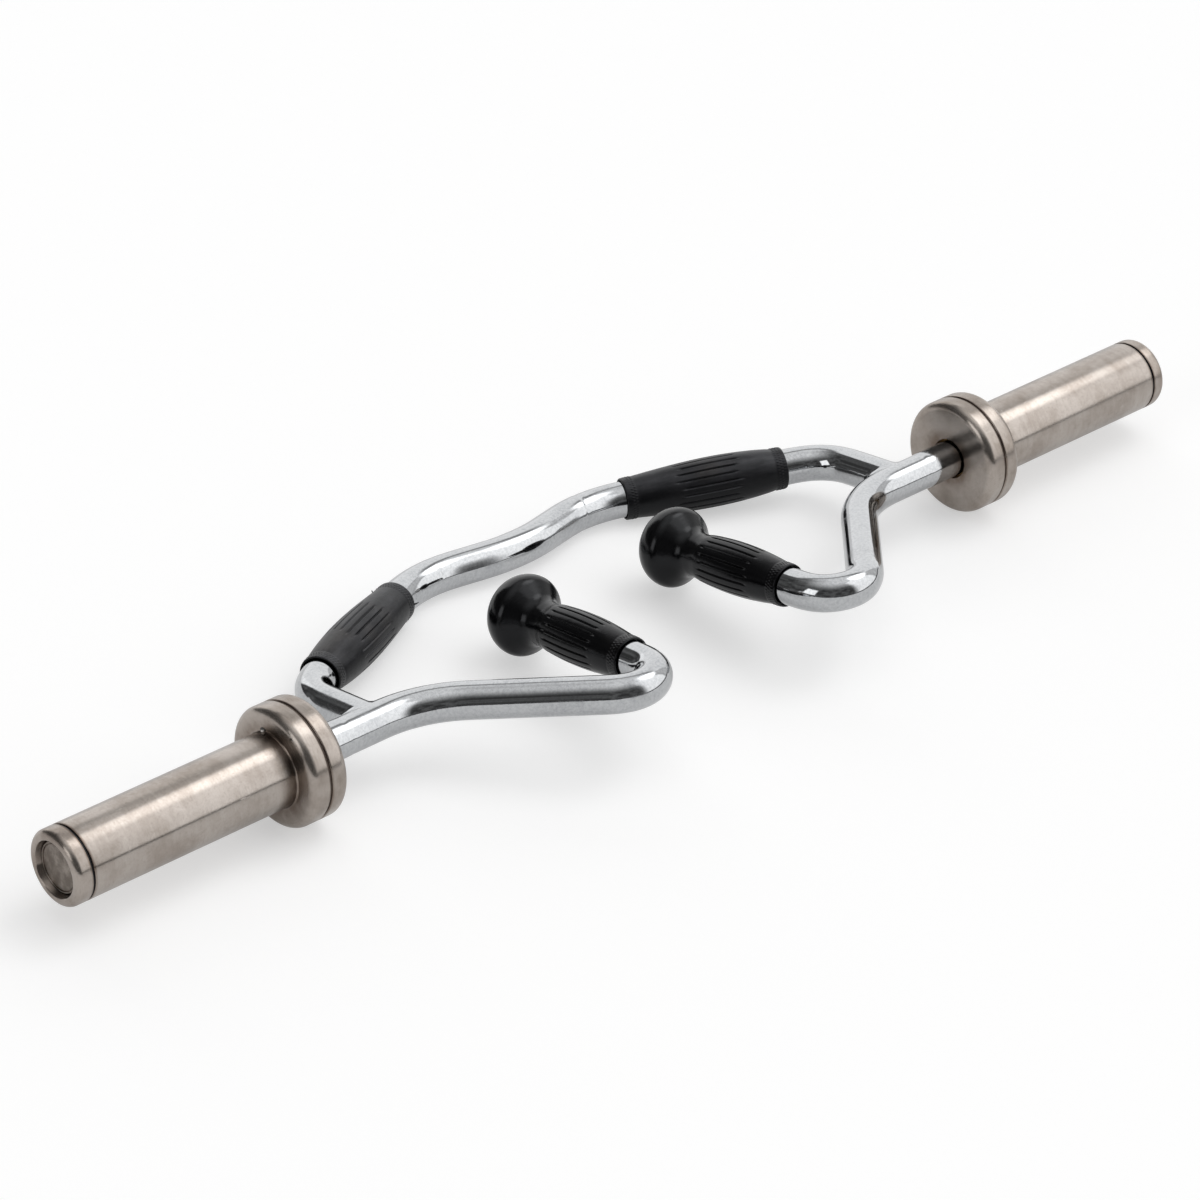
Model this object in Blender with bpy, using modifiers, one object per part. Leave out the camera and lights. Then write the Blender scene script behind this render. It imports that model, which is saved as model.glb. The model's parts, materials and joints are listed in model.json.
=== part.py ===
"""Triceps bar: a bent tube frame with rubber grips between two free-turning plate sleeves.

Metres, +Z up. The bar's axis runs along X, and the object lies on a floor at Z = 0 the way it
rests by itself: on both collars and on the inner end of a curl grip.
"""
import math

import bpy
import bmesh
import numpy as np
from mathutils import Matrix, Vector

# Fits and facets
CLEARANCE = 0.0003
TUBE_BEVEL_RESOLUTION = 6
BEND_STEP = math.radians(12)
ROUND_SIDES = 24
GRIP_SIDES = 20

# Bent tubes, in the frame's own plane: X along the bar, V square to it, towards the curl bar
TUBE_RADIUS = 0.0125
TUBE_WALL = 0.0026
CURL_JOINT = (0.2346, 0.0)
CURL_SHOULDER = (0.2346, 0.0680)
CURL_CREST = (0.0758, 0.1432)
CURL_MIDDLE = (0.0138, 0.1284)
CURL_SHOULDER_BEND = 0.0353
CURL_CREST_BEND = 0.0780
CURL_MIDDLE_BEND = 0.0874
HANDLE_BRANCH = (0.1959, 0.0)
HANDLE_ELBOW = (0.0719, -0.1328)
HANDLE_TIP = (0.0676, 0.0300)
HANDLE_BRANCH_BEND = 0.0720
HANDLE_ELBOW_BEND = 0.0238
BEAD_RADIUS = 0.0024

# Rubber grips, measured along their tubes from the corner of the tube's centre line
GRIP_END_RADIUS = 0.0145
GRIP_BELLY_RADIUS = 0.0175
GRIP_BAND = 0.0085
LEFT_CURL_GRIP_START = 0.0256
RIGHT_CURL_GRIP_START = 0.0325
CURL_GRIP_LENGTH = 0.1160
HANDLE_GRIP_START = 0.0715
HANDLE_GRIP_LENGTH = 0.1260
GRIP_WAIST_RADIUS = 0.0151
POMMEL_RADIUS = 0.0274
TUBE_IN_POMMEL = 0.0900

# Spindles and what holds the sleeves on them, as distances from the middle of the bar
SPINDLE_RADIUS = 0.0127
SPINDLE_START = 0.2560
SPINDLE_TAPER = 0.0060
SPIGOT_LENGTH = 0.0200
SPINDLE_WELD_WIDTH = 0.0024
JOURNAL_RADIUS = 0.0112
THRUST_WASHER = 0.0020
END_WASHER = 0.0025
END_WASHER_RADIUS = 0.0165
BOLT_RADIUS = 0.0047
BOLT_LENGTH = 0.0180
BOLT_HEAD_RADIUS = 0.0075
BOLT_HEAD = 0.0060
BOLT_HEX_RADIUS = 0.0040

# Sleeves
SLEEVE_RADIUS = 0.0250
SLEEVE_BORE = 0.0190
SLEEVE_END = 0.4685
COLLAR_CENTRE = 0.3000
COLLAR_RADIUS = 0.0402
COLLAR_HALF_WIDTH = 0.0145
COLLAR_GROOVE = 0.0014
COLLAR_SHOULDER = 0.0058
COLLAR_WEB = 0.0070
COLLAR_HOLE = 0.0142
SHIM = 0.0008
SHIM_RADIUS = 0.0375
KEY_RADIUS = 0.0016
KEY_LENGTH = 0.0115
KEY_ANGLE = math.radians(70)
BUSH_LENGTH = 0.0400
END_BUSH_LENGTH = 0.0230
END_ROOM = 0.0138
END_PLAY = 0.0014

# End caps
SEAL = 0.0010
SEAL_RADIUS = 0.0243
CAP_LENGTH = 0.0110
CAP_ROUNDING = 0.0045
CAP_RECESS_RADIUS = 0.0170
CAP_RECESS_DEPTH = 0.0055
CAP_DISC = 0.0016
CAP_WEB = 0.0040
CAP_SPIGOT = 0.0060
CAP_SPIGOT_WALL = 0.0030

SIDES = (("left", -1), ("right", 1))
CURL_GRIP_STARTS = {"left": LEFT_CURL_GRIP_START, "right": RIGHT_CURL_GRIP_START}

# The spindle ends inside the sleeve, one end room short of the sleeve's end. Its washer there leaves
# the end bush a little play, and the thrust washer behind the bush bears on the spindle's step.
SPINDLE_END = SLEEVE_END - END_ROOM
END_BUSH_FAR = SPINDLE_END + CLEARANCE - END_PLAY
THRUST_FAR = END_BUSH_FAR - END_BUSH_LENGTH - CLEARANCE
SPINDLE_STEP = THRUST_FAR - THRUST_WASHER - CLEARANCE


# Curves in the frame's plane

def corner_arc(before, corner, after, radius):
    """Points of the arc of the given radius that rounds a corner of a path."""
    a, b, c = (np.array(p, float) for p in (before, corner, after))
    u = (a - b) / np.linalg.norm(a - b)
    w = (c - b) / np.linalg.norm(c - b)
    half = math.acos(np.clip(u @ w, -1, 1)) / 2
    turn = math.pi - 2 * half
    bisector = (u + w) / np.linalg.norm(u + w)
    centre = b + bisector * radius / math.sin(half)
    start = b + u * radius / math.tan(half)
    arm = start - centre
    sign = 1 if u[0] * w[1] - u[1] * w[0] < 0 else -1
    steps = max(2, math.ceil(turn / BEND_STEP))
    points = []
    for i in range(steps + 1):
        t = sign * turn * i / steps
        points.append(centre + (arm[0] * math.cos(t) - arm[1] * math.sin(t),
                                arm[0] * math.sin(t) + arm[1] * math.cos(t)))
    return points


def rounded_path(corners, radii):
    """A path through the corners, each inner one rounded to its bend radius."""
    path = [np.array(corners[0], float)]
    for i, radius in enumerate(radii, start=1):
        path += corner_arc(corners[i - 1], corners[i], corners[i + 1], radius)
    path.append(np.array(corners[-1], float))
    return path


def mirrored(points):
    return [(-x, v) for x, v in points]


def along(start, end, distance):
    a, b = np.array(start, float), np.array(end, float)
    return a + (b - a) * distance / np.linalg.norm(b - a)


CURL_HALF = [CURL_JOINT, CURL_SHOULDER, CURL_CREST, CURL_MIDDLE]
CURL_BENDS = [CURL_SHOULDER_BEND, CURL_CREST_BEND, CURL_MIDDLE_BEND]
CURL_PATH = rounded_path(mirrored(CURL_HALF) + CURL_HALF[::-1], CURL_BENDS + CURL_BENDS[::-1])

TUBE_BORE = TUBE_RADIUS - TUBE_WALL
WELD_GAP = SPINDLE_WELD_WIDTH / 2 + CLEARANCE
HANDLE_TUBE_END = along(HANDLE_ELBOW, HANDLE_TIP, HANDLE_GRIP_START + TUBE_IN_POMMEL)
HANDLE_PATH = rounded_path([(SPINDLE_START - WELD_GAP, 0.0), HANDLE_BRANCH, HANDLE_ELBOW, HANDLE_TUBE_END],
                           [HANDLE_BRANCH_BEND, HANDLE_ELBOW_BEND])

# The frame tips about the bar until the inner end of the lower curl grip is as low as the collars
TIP_POINT = along(CURL_SHOULDER, CURL_CREST, max(CURL_GRIP_STARTS.values()) + CURL_GRIP_LENGTH)
TIPPING = math.asin((COLLAR_RADIUS - GRIP_END_RADIUS) / TIP_POINT[1])

# The bar's axis lies where the middle of the object's depth comes to Y = 0
BACK = max(p[1] for p in CURL_PATH) * math.cos(TIPPING) + TUBE_RADIUS
FRONT = min(p[1] for p in HANDLE_PATH) * math.cos(TIPPING) - TUBE_RADIUS
PLACE = (Matrix.Translation((0, -(BACK + FRONT) / 2, COLLAR_RADIUS))
         @ Matrix.Rotation(-TIPPING, 4, "X"))


def placed(point, height=0.0):
    """A point of the frame's plane, at a height over that plane, in the object's space."""
    return PLACE @ Vector((point[0], point[1], height))


# Scene, collections and materials

for old in list(bpy.data.objects):
    bpy.data.objects.remove(old, do_unlink=True)

parts = bpy.data.collections.new("triceps_bar")
cutters = bpy.data.collections.new("cutters")
for collection in (parts, cutters):
    bpy.context.scene.collection.children.link(collection)


def make_material(name, colour, metallic, roughness):
    material = bpy.data.materials.new(name)
    material.use_nodes = True
    shader = material.node_tree.nodes["Principled BSDF"]
    shader.inputs["Base Color"].default_value = (*colour, 1)
    shader.inputs["Metallic"].default_value = metallic
    shader.inputs["Roughness"].default_value = roughness
    return material


def dress(obj, look):
    """Gives an object its own material and shades its round faces smooth."""
    colour, metallic, roughness = look
    obj.data.materials.clear()
    obj.data.materials.append(make_material(obj.name, colour, metallic, roughness))
    obj.data.shade_smooth()
    obj.data.set_sharp_from_angle(angle=math.radians(35))
    return obj


CHROME = ((0.80, 0.81, 0.82), 1.0, 0.12)
SATIN_STEEL = ((0.60, 0.56, 0.52), 1.0, 0.34)
DARK_STEEL = ((0.35, 0.34, 0.33), 1.0, 0.40)
BRONZE = ((0.62, 0.42, 0.20), 1.0, 0.35)
RUBBER = ((0.020, 0.020, 0.022), 0.0, 0.55)
PLASTIC = ((0.05, 0.05, 0.05), 0.0, 0.50)


# Shapes

def link(name, data, collection=parts):
    obj = bpy.data.objects.new(name, data)
    collection.objects.link(obj)
    return obj


def hide_cutter(obj):
    obj.hide_render = True
    obj.display_type = "WIRE"
    return obj


def subtract(obj, cutter):
    cut = obj.modifiers.new("cut", "BOOLEAN")
    cut.operation = "DIFFERENCE"
    cut.solver = "EXACT"
    cut.object = cutter


def swept(name, points, radius, collection=parts, wall=0.0, cyclic=False):
    """A round bar along the points, or an open tube if it has a wall."""
    curve = bpy.data.curves.new(name, "CURVE")
    curve.dimensions = "3D"
    curve.bevel_depth = radius
    curve.bevel_resolution = TUBE_BEVEL_RESOLUTION
    curve.use_fill_caps = not wall and not cyclic
    spline = curve.splines.new("POLY")
    spline.points.add(len(points) - 1)
    for slot, point in zip(spline.points, points):
        slot.co = (*point, 1)
    spline.use_cyclic_u = cyclic
    guide = link(name + "_path", curve, collection)
    evaluated = guide.evaluated_get(bpy.context.evaluated_depsgraph_get())
    mesh = bpy.data.meshes.new_from_object(evaluated)
    mesh.name = name
    matrix = guide.matrix_world.copy()
    bpy.data.objects.remove(guide)
    cage = bmesh.new()
    cage.from_mesh(mesh)
    bmesh.ops.remove_doubles(cage, verts=cage.verts, dist=0.00001)
    bmesh.ops.recalc_face_normals(cage, faces=cage.faces)
    cage.to_mesh(mesh)
    cage.free()
    obj = link(name, mesh, collection)
    obj.matrix_world = matrix
    if wall:
        shell = obj.modifiers.new("wall", "SOLIDIFY")
        shell.thickness = wall
        shell.offset = -1
        shell.use_even_offset = True
    return obj


def turned(name, profile, matrix, sides=ROUND_SIDES, closed=False, collection=parts):
    """A profile of (radius, height) pairs, top to bottom, turned about the local Z axis."""
    mesh = bpy.data.meshes.new(name)
    cage = bmesh.new()
    verts = [cage.verts.new((radius, 0, height)) for radius, height in profile]
    for a, b in zip(verts, verts[1:]):
        cage.edges.new((a, b))
    if closed:
        cage.edges.new((verts[-1], verts[0]))
    cage.to_mesh(mesh)
    cage.free()
    obj = link(name, mesh, collection)
    obj.matrix_world = matrix
    screw = obj.modifiers.new("turn", "SCREW")
    screw.axis = "Z"
    screw.angle = 2 * math.pi
    screw.steps = sides
    screw.render_steps = sides
    screw.use_merge_vertices = True
    screw.merge_threshold = 0.00001
    screw.use_smooth_shade = True
    weld = obj.modifiers.new("weld", "WELD")
    weld.merge_threshold = 0.00001
    return obj


def rounded_corner(radius, height, size, quadrant, steps=4):
    """Profile points that round a corner; quadrant is the angle at which the arc starts."""
    cx = radius - size * (1 if quadrant in (90, 0) else -1)
    cz = height - size * (1 if quadrant in (90, 180) else -1)
    angles = [math.radians(quadrant - 90 * i / steps) for i in range(steps + 1)]
    return [(cx + size * math.cos(a), cz + size * math.sin(a)) for a in angles]


def sleeve_matrix(side):
    """Local Z runs outwards along the bar from the middle of the collar."""
    turn = Matrix.Rotation(side * math.pi / 2, 4, "Y")
    return Matrix.Translation(placed((side * COLLAR_CENTRE, 0))) @ turn


def station(profile):
    """A profile given by distances from the middle of the bar, in a sleeve's own space."""
    return [(radius, distance - COLLAR_CENTRE) for radius, distance in profile]


def ring(inner, outer, near, far):
    """The square profile of a ring between two distances from the middle of the bar."""
    return station([(inner, far), (outer, far), (outer, near), (inner, near)])


def grip_matrix(start, end, distance):
    """Local Z runs along the tube, from a point of its centre line."""
    origin = placed(along(start, end, distance))
    direction = (placed(end) - placed(start)).normalized()
    across = PLACE.to_3x3() @ Vector((0, 0, 1))
    other = across.cross(direction)
    turn = Matrix((across, other, direction)).transposed().to_4x4()
    return Matrix.Translation(origin) @ turn


# Frame: curl bar, handle tubes and the beads that join them

curl_bar = swept("curl_bar", [placed(p) for p in CURL_PATH], TUBE_RADIUS, wall=TUBE_WALL)
curl_room = hide_cutter(swept("curl_room", [placed(p) for p in CURL_PATH],
                              TUBE_RADIUS + CLEARANCE, cutters))


def gap_to_path(point, path):
    """Distance from a point over the frame's plane to the nearest stretch of a path in it."""
    best = math.inf
    for a, b in zip(path, path[1:]):
        t = np.clip((point[:2] - a) @ (b - a) / ((b - a) @ (b - a)), 0, 1)
        best = min(best, math.hypot(*(point[:2] - a - t * (b - a)), point[2]))
    return best


def bead_path(side, steps=24):
    """The closed line round the foot of the curl bar, where it meets the handle tube."""
    joint = np.array((*CURL_JOINT, 0.0))
    shoulder = np.array((*CURL_SHOULDER, 0.0))
    up = (shoulder - joint) / np.linalg.norm(shoulder - joint)
    across = np.array((up[1], -up[0], 0.0))
    reach = TUBE_RADIUS + BEAD_RADIUS / 4
    spine = [np.array((SPINDLE_START + TUBE_RADIUS, 0.0))] + HANDLE_PATH
    points = []
    for i in range(steps):
        angle = 2 * math.pi * i / steps
        foot = joint + reach * (math.cos(angle) * across + math.sin(angle) * np.array((0, 0, 1.0)))
        low, high = 0.0, 3 * TUBE_RADIUS
        for _ in range(30):
            middle = (low + high) / 2
            if gap_to_path(foot + middle * up, spine) < reach + CLEARANCE:
                low = middle
            else:
                high = middle
        point = foot + high * up
        points.append(placed((side * point[0], point[1]), point[2]))
    return points


for name, side in SIDES:
    path = [placed((side * x, v)) for x, v in HANDLE_PATH]
    room_path = [placed((side * (SPINDLE_START + TUBE_RADIUS), 0))] + path
    tube = dress(swept(name + "_handle_tube", path, TUBE_RADIUS, wall=TUBE_WALL), CHROME)
    room = hide_cutter(swept(name + "_handle_room", room_path, TUBE_RADIUS + CLEARANCE, cutters))
    subtract(curl_bar, room)
    bead = swept(name + "_joint_bead", bead_path(side), BEAD_RADIUS, cyclic=True)
    subtract(bead, room)
    subtract(bead, curl_room)
    dress(bead, CHROME)
dress(curl_bar, CHROME)

# Spindles, their weld rings, and the washer and bolt that keep each sleeve on

for name, side in SIDES:
    matrix = sleeve_matrix(side)
    spigot = TUBE_BORE - CLEARANCE
    bolt_hole = BOLT_RADIUS + CLEARANCE
    washer_near = SPINDLE_END + CLEARANCE
    washer_far = washer_near + END_WASHER
    head_near = washer_far + CLEARANCE
    bolt_end = head_near - BOLT_LENGTH
    dress(turned(name + "_spindle", station([
        (0, bolt_end - 2 * CLEARANCE), (bolt_hole, bolt_end - 2 * CLEARANCE), (bolt_hole, SPINDLE_END),
        (JOURNAL_RADIUS, SPINDLE_END), (JOURNAL_RADIUS, SPINDLE_STEP), (SPINDLE_RADIUS, SPINDLE_STEP),
        (SPINDLE_RADIUS, SPINDLE_START + WELD_GAP + SPINDLE_TAPER), (TUBE_RADIUS, SPINDLE_START + WELD_GAP),
        (spigot, SPINDLE_START + WELD_GAP), (spigot, SPINDLE_START - SPIGOT_LENGTH),
        (0, SPINDLE_START - SPIGOT_LENGTH)]), matrix), CHROME)
    dress(turned(name + "_spindle_weld", ring(
        spigot + CLEARANCE, TUBE_RADIUS, SPINDLE_START - SPINDLE_WELD_WIDTH / 2,
        SPINDLE_START + SPINDLE_WELD_WIDTH / 2), matrix, closed=True), CHROME)
    dress(turned(name + "_end_washer", ring(
        bolt_hole, END_WASHER_RADIUS, washer_near, washer_far), matrix, closed=True), DARK_STEEL)
    bolt = turned(name + "_end_bolt", station([
        (0, head_near + BOLT_HEAD), (BOLT_HEAD_RADIUS, head_near + BOLT_HEAD), (BOLT_HEAD_RADIUS, head_near),
        (BOLT_RADIUS, head_near), (BOLT_RADIUS, bolt_end), (0, bolt_end)]), matrix)
    hexagon = hide_cutter(turned(name + "_bolt_hexagon", station([
        (0, head_near + 2 * BOLT_HEAD), (BOLT_HEX_RADIUS, head_near + 2 * BOLT_HEAD),
        (BOLT_HEX_RADIUS, head_near + BOLT_HEAD / 3), (0, head_near + BOLT_HEAD / 3)]),
        matrix, sides=6, collection=cutters))
    subtract(bolt, hexagon)
    dress(bolt, DARK_STEEL)

# Sleeves with their collars, bushes and end caps, all turning about the spindle

for name, side in SIDES:
    matrix = sleeve_matrix(side)
    collar_near = COLLAR_CENTRE - COLLAR_HALF_WIDTH
    collar_far = COLLAR_CENTRE + COLLAR_HALF_WIDTH
    groove_near = COLLAR_CENTRE - COLLAR_GROOVE / 2
    groove_far = COLLAR_CENTRE + COLLAR_GROOVE / 2
    seat = SLEEVE_RADIUS + CLEARANCE
    sleeve_near = collar_near + COLLAR_WEB + CLEARANCE
    bush_radius = SLEEVE_BORE - CLEARANCE

    key_turn = Matrix.Rotation(side * KEY_ANGLE, 4, "Z")
    key_matrix = matrix @ key_turn @ Matrix.Translation((0, seat, 0))
    key_far = collar_far + CLEARANCE
    key_near = key_far - KEY_LENGTH
    key_hole = hide_cutter(turned(name + "_key_hole", station([
        (0, key_far), (KEY_RADIUS + CLEARANCE, key_far), (KEY_RADIUS + CLEARANCE, key_near - CLEARANCE),
        (0, key_near - CLEARANCE)]), key_matrix, sides=12, collection=cutters))
    dress(turned(name + "_collar_key", station([
        (0, key_far), (KEY_RADIUS, key_far), (KEY_RADIUS, key_near), (0, key_near)]),
        key_matrix, sides=12), SATIN_STEEL)

    sleeve = turned(name + "_sleeve", ring(
        SLEEVE_BORE, SLEEVE_RADIUS, sleeve_near, SLEEVE_END), matrix, closed=True)
    subtract(sleeve, key_hole)
    dress(sleeve, SATIN_STEEL)

    outer_ring = turned(name + "_collar_outer_ring", station(
        [(seat, collar_far)]
        + rounded_corner(COLLAR_RADIUS, collar_far, COLLAR_SHOULDER, 90)
        + [(COLLAR_RADIUS, groove_far), (seat, groove_far)]), matrix, closed=True)
    subtract(outer_ring, key_hole)
    dress(outer_ring, SATIN_STEEL)

    dress(turned(name + "_collar_inner_ring", station(
        [(seat, groove_near), (COLLAR_RADIUS, groove_near)]
        + rounded_corner(COLLAR_RADIUS, collar_near, COLLAR_SHOULDER, 0)
        + [(COLLAR_HOLE, collar_near), (COLLAR_HOLE, collar_near + COLLAR_WEB), (seat, collar_near + COLLAR_WEB)]),
        matrix, closed=True), SATIN_STEEL)

    dress(turned(name + "_collar_shim", ring(
        seat, SHIM_RADIUS, COLLAR_CENTRE - SHIM / 2, COLLAR_CENTRE + SHIM / 2),
        matrix, closed=True), DARK_STEEL)
    dress(turned(name + "_collar_bush", ring(
        SPINDLE_RADIUS + CLEARANCE, bush_radius, sleeve_near, sleeve_near + BUSH_LENGTH),
        matrix, closed=True), BRONZE)
    dress(turned(name + "_thrust_washer", ring(
        JOURNAL_RADIUS + CLEARANCE, bush_radius, THRUST_FAR - THRUST_WASHER, THRUST_FAR),
        matrix, closed=True), BRONZE)
    dress(turned(name + "_end_bush", ring(
        JOURNAL_RADIUS + CLEARANCE, bush_radius, END_BUSH_FAR - END_BUSH_LENGTH, END_BUSH_FAR),
        matrix, closed=True), BRONZE)

    seal_near = SLEEVE_END + CLEARANCE
    cap_near = seal_near + SEAL + CLEARANCE
    cap_far = cap_near + CAP_LENGTH
    recess = cap_far - CAP_RECESS_DEPTH
    spigot = SLEEVE_BORE - CLEARANCE
    dress(turned(name + "_cap_seal", ring(
        spigot + CLEARANCE, SEAL_RADIUS, seal_near, seal_near + SEAL), matrix, closed=True), RUBBER)
    dress(turned(name + "_end_cap", station(
        [(0, recess), (CAP_RECESS_RADIUS, recess), (CAP_RECESS_RADIUS, cap_far)]
        + rounded_corner(SLEEVE_RADIUS, cap_far, CAP_ROUNDING, 90)
        + [(SLEEVE_RADIUS, cap_near), (spigot, cap_near), (spigot, cap_near - CAP_SPIGOT),
           (spigot - CAP_SPIGOT_WALL, cap_near - CAP_SPIGOT), (spigot - CAP_SPIGOT_WALL, recess - CAP_WEB),
           (0, recess - CAP_WEB)]), matrix), SATIN_STEEL)
    disc = CAP_RECESS_RADIUS - CLEARANCE
    dress(turned(name + "_cap_disc", station([
        (0, recess + CLEARANCE + CAP_DISC), (disc, recess + CLEARANCE + CAP_DISC),
        (disc, recess + CLEARANCE), (0, recess + CLEARANCE)]), matrix), SATIN_STEEL)

# Rubber grips


def swelling(t):
    """How far a grip has swelled from its end radius to its belly radius, at a share of its length."""
    return math.sin(math.pi * t) ** 0.8


for name, side in SIDES:
    start, end = (side * CURL_SHOULDER[0], CURL_SHOULDER[1]), (side * CURL_CREST[0], CURL_CREST[1])
    bore = TUBE_RADIUS + CLEARANCE
    swell = CURL_GRIP_LENGTH - 2 * GRIP_BAND
    belly = GRIP_BELLY_RADIUS - GRIP_END_RADIUS
    outside = [(GRIP_END_RADIUS, CURL_GRIP_LENGTH)]
    outside += [(GRIP_END_RADIUS + belly * swelling(1 - i / 8), CURL_GRIP_LENGTH - GRIP_BAND - swell * i / 8)
                for i in range(9)]
    outside += [(GRIP_END_RADIUS, 0)]
    dress(turned(name + "_curl_grip", outside + [(bore, 0), (bore, CURL_GRIP_LENGTH)],
                 grip_matrix(start, end, CURL_GRIP_STARTS[name]), sides=GRIP_SIDES, closed=True), RUBBER)

    start, end = (side * HANDLE_ELBOW[0], HANDLE_ELBOW[1]), (side * HANDLE_TIP[0], HANDLE_TIP[1])
    waist = 0.64 * HANDLE_GRIP_LENGTH
    rim = 0.83 * HANDLE_GRIP_LENGTH
    dome = HANDLE_GRIP_LENGTH - rim
    outside = [(POMMEL_RADIUS * math.sin(a), rim + dome * math.cos(a))
               for a in (math.radians(15 * i) for i in range(7))]
    neck = rim - waist
    flare = POMMEL_RADIUS - GRIP_WAIST_RADIUS
    outside += [(GRIP_WAIST_RADIUS + flare * (1 - math.sin(a)), rim - neck * (1 - math.cos(a)))
                for a in (math.radians(18 * i) for i in range(1, 6))]
    swell = waist - GRIP_BAND
    belly = GRIP_BELLY_RADIUS - GRIP_END_RADIUS
    drop = GRIP_WAIST_RADIUS - GRIP_END_RADIUS
    outside += [(GRIP_END_RADIUS + drop * (1 - i / 6) + belly * swelling(1 - i / 6), waist - swell * i / 6)
                for i in range(1, 7)]
    outside += [(GRIP_END_RADIUS, 0)]
    hole = TUBE_IN_POMMEL + 0.0030
    dress(turned(name + "_handle_grip", outside + [(bore, 0), (bore, hole), (0, hole)],
                 grip_matrix(start, end, HANDLE_GRIP_START), sides=GRIP_SIDES), RUBBER)

    plug = TUBE_BORE - CLEARANCE
    plug_seat = TUBE_IN_POMMEL + CLEARANCE
    dress(turned(name + "_handle_plug", [
        (0, plug_seat + 0.0022), (TUBE_RADIUS, plug_seat + 0.0022), (TUBE_RADIUS, plug_seat),
        (plug, plug_seat), (plug, plug_seat - 0.0120), (0, plug_seat - 0.0120)],
        grip_matrix(start, end, HANDLE_GRIP_START), sides=GRIP_SIDES), PLASTIC)
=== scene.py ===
"""Triceps bar, dressed: chromed bent tubes, rubber grips and two turned steel plate sleeves.

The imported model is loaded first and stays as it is. Each section below makes one kind of piece as a fine
surface round that model, in metres, and says which body it moves with and which plain node it stands for.
"""
import json
import math

import bpy
import numpy as np
from mathutils import Matrix


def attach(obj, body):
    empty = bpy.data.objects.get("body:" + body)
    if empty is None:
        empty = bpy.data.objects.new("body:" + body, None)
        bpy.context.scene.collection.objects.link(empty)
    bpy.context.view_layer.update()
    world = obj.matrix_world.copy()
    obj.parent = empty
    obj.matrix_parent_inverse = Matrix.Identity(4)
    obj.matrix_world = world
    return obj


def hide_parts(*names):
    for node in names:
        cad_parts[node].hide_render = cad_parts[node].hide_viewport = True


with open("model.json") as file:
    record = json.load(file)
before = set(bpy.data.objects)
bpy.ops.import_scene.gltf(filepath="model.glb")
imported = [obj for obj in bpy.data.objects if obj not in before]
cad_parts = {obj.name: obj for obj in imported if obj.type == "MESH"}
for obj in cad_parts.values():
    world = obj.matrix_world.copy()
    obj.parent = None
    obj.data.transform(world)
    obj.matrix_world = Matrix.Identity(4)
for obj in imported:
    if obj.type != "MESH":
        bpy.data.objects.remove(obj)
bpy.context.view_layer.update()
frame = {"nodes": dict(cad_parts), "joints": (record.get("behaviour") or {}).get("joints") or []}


# Curl bar
# The long back tube that both curl grips slide on: one 25 mm steel tube, mandrel bent in a plane, ground and
# chromed after welding. Its two feet are coped to sit on the handle tubes.

TUBE_RADIUS = 0.0125
CURL_JOINT = (0.2346, 0.0)
CURL_SHOULDER = (0.2346, 0.0680)
CURL_CREST = (0.0758, 0.1432)
CURL_MIDDLE = (0.0138, 0.1284)
CURL_BENDS = (0.0353, 0.0780, 0.0874)
HANDLE_BRANCH = (0.1959, 0.0)
HANDLE_ELBOW = (0.0719, -0.1328)
HANDLE_TIP = (0.0676, 0.0300)
HANDLE_BENDS = (0.0720, 0.0238)
GRIP_STARTS = {"left": 0.0256, "right": 0.0325}
GRIP_LENGTH = 0.1160
GRIP_END_RADIUS = 0.0145
TUBE_SPACING = 0.0008
TUBE_SIDES = 96
BEND_EASE = 0.0035
SHARP_EDGE = math.radians(32)
SIDES = (("left", -1), ("right", 1))

bar_axis = np.array(frame["joints"][0]["pos_m"])
bar_axis[0] = 0


def unit(v):
    """A vector, or each row of an array of vectors, divided by its length."""
    v = np.asarray(v, float)
    return v / np.linalg.norm(v, axis=-1, keepdims=True)


def rounded_path(corners, radii, step=math.radians(3)):
    """A line through 2D corners with each inner corner rounded to its radius.

    Where the line turns by an angle, the arc starts radius * tan(angle / 2) before the corner, and its points
    are the centre plus the arm to its start, turned in even steps. A radius of zero leaves a corner sharp.
    """
    corners = np.asarray(corners, float)
    pieces = [corners[:1]]
    for before, corner, after, radius in zip(corners, corners[1:], corners[2:], radii):
        u, v = unit(corner - before), unit(after - corner)
        turn = math.atan2(u[0] * v[1] - u[1] * v[0], u @ v)
        if radius == 0:
            pieces.append(corner[None])
            continue
        start = corner - u * radius * math.tan(abs(turn) / 2)
        arm = -math.copysign(radius, turn) * np.array((-u[1], u[0]))
        t = np.linspace(0, turn, max(2, math.ceil(abs(turn) / step)) + 1)[:, None]
        turned = np.cos(t) * arm + np.sin(t) * np.array((-arm[1], arm[0]))
        pieces.append(start - arm + turned)
    pieces.append(corners[-1:])
    return np.vstack(pieces)


def running(path):
    """Distance along a path at each of its points: the running sum of its steps."""
    steps = np.linalg.norm(np.diff(path, axis=0), axis=1)
    return np.concatenate(([0], np.cumsum(steps)))


def evenly(path, spacing):
    """The same path with points at even distances along it."""
    s = running(path)
    even = np.linspace(0, s[-1], math.ceil(s[-1] / spacing) + 1)
    return np.column_stack([np.interp(even, s, path[:, k]) for k in range(path.shape[1])])


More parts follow.
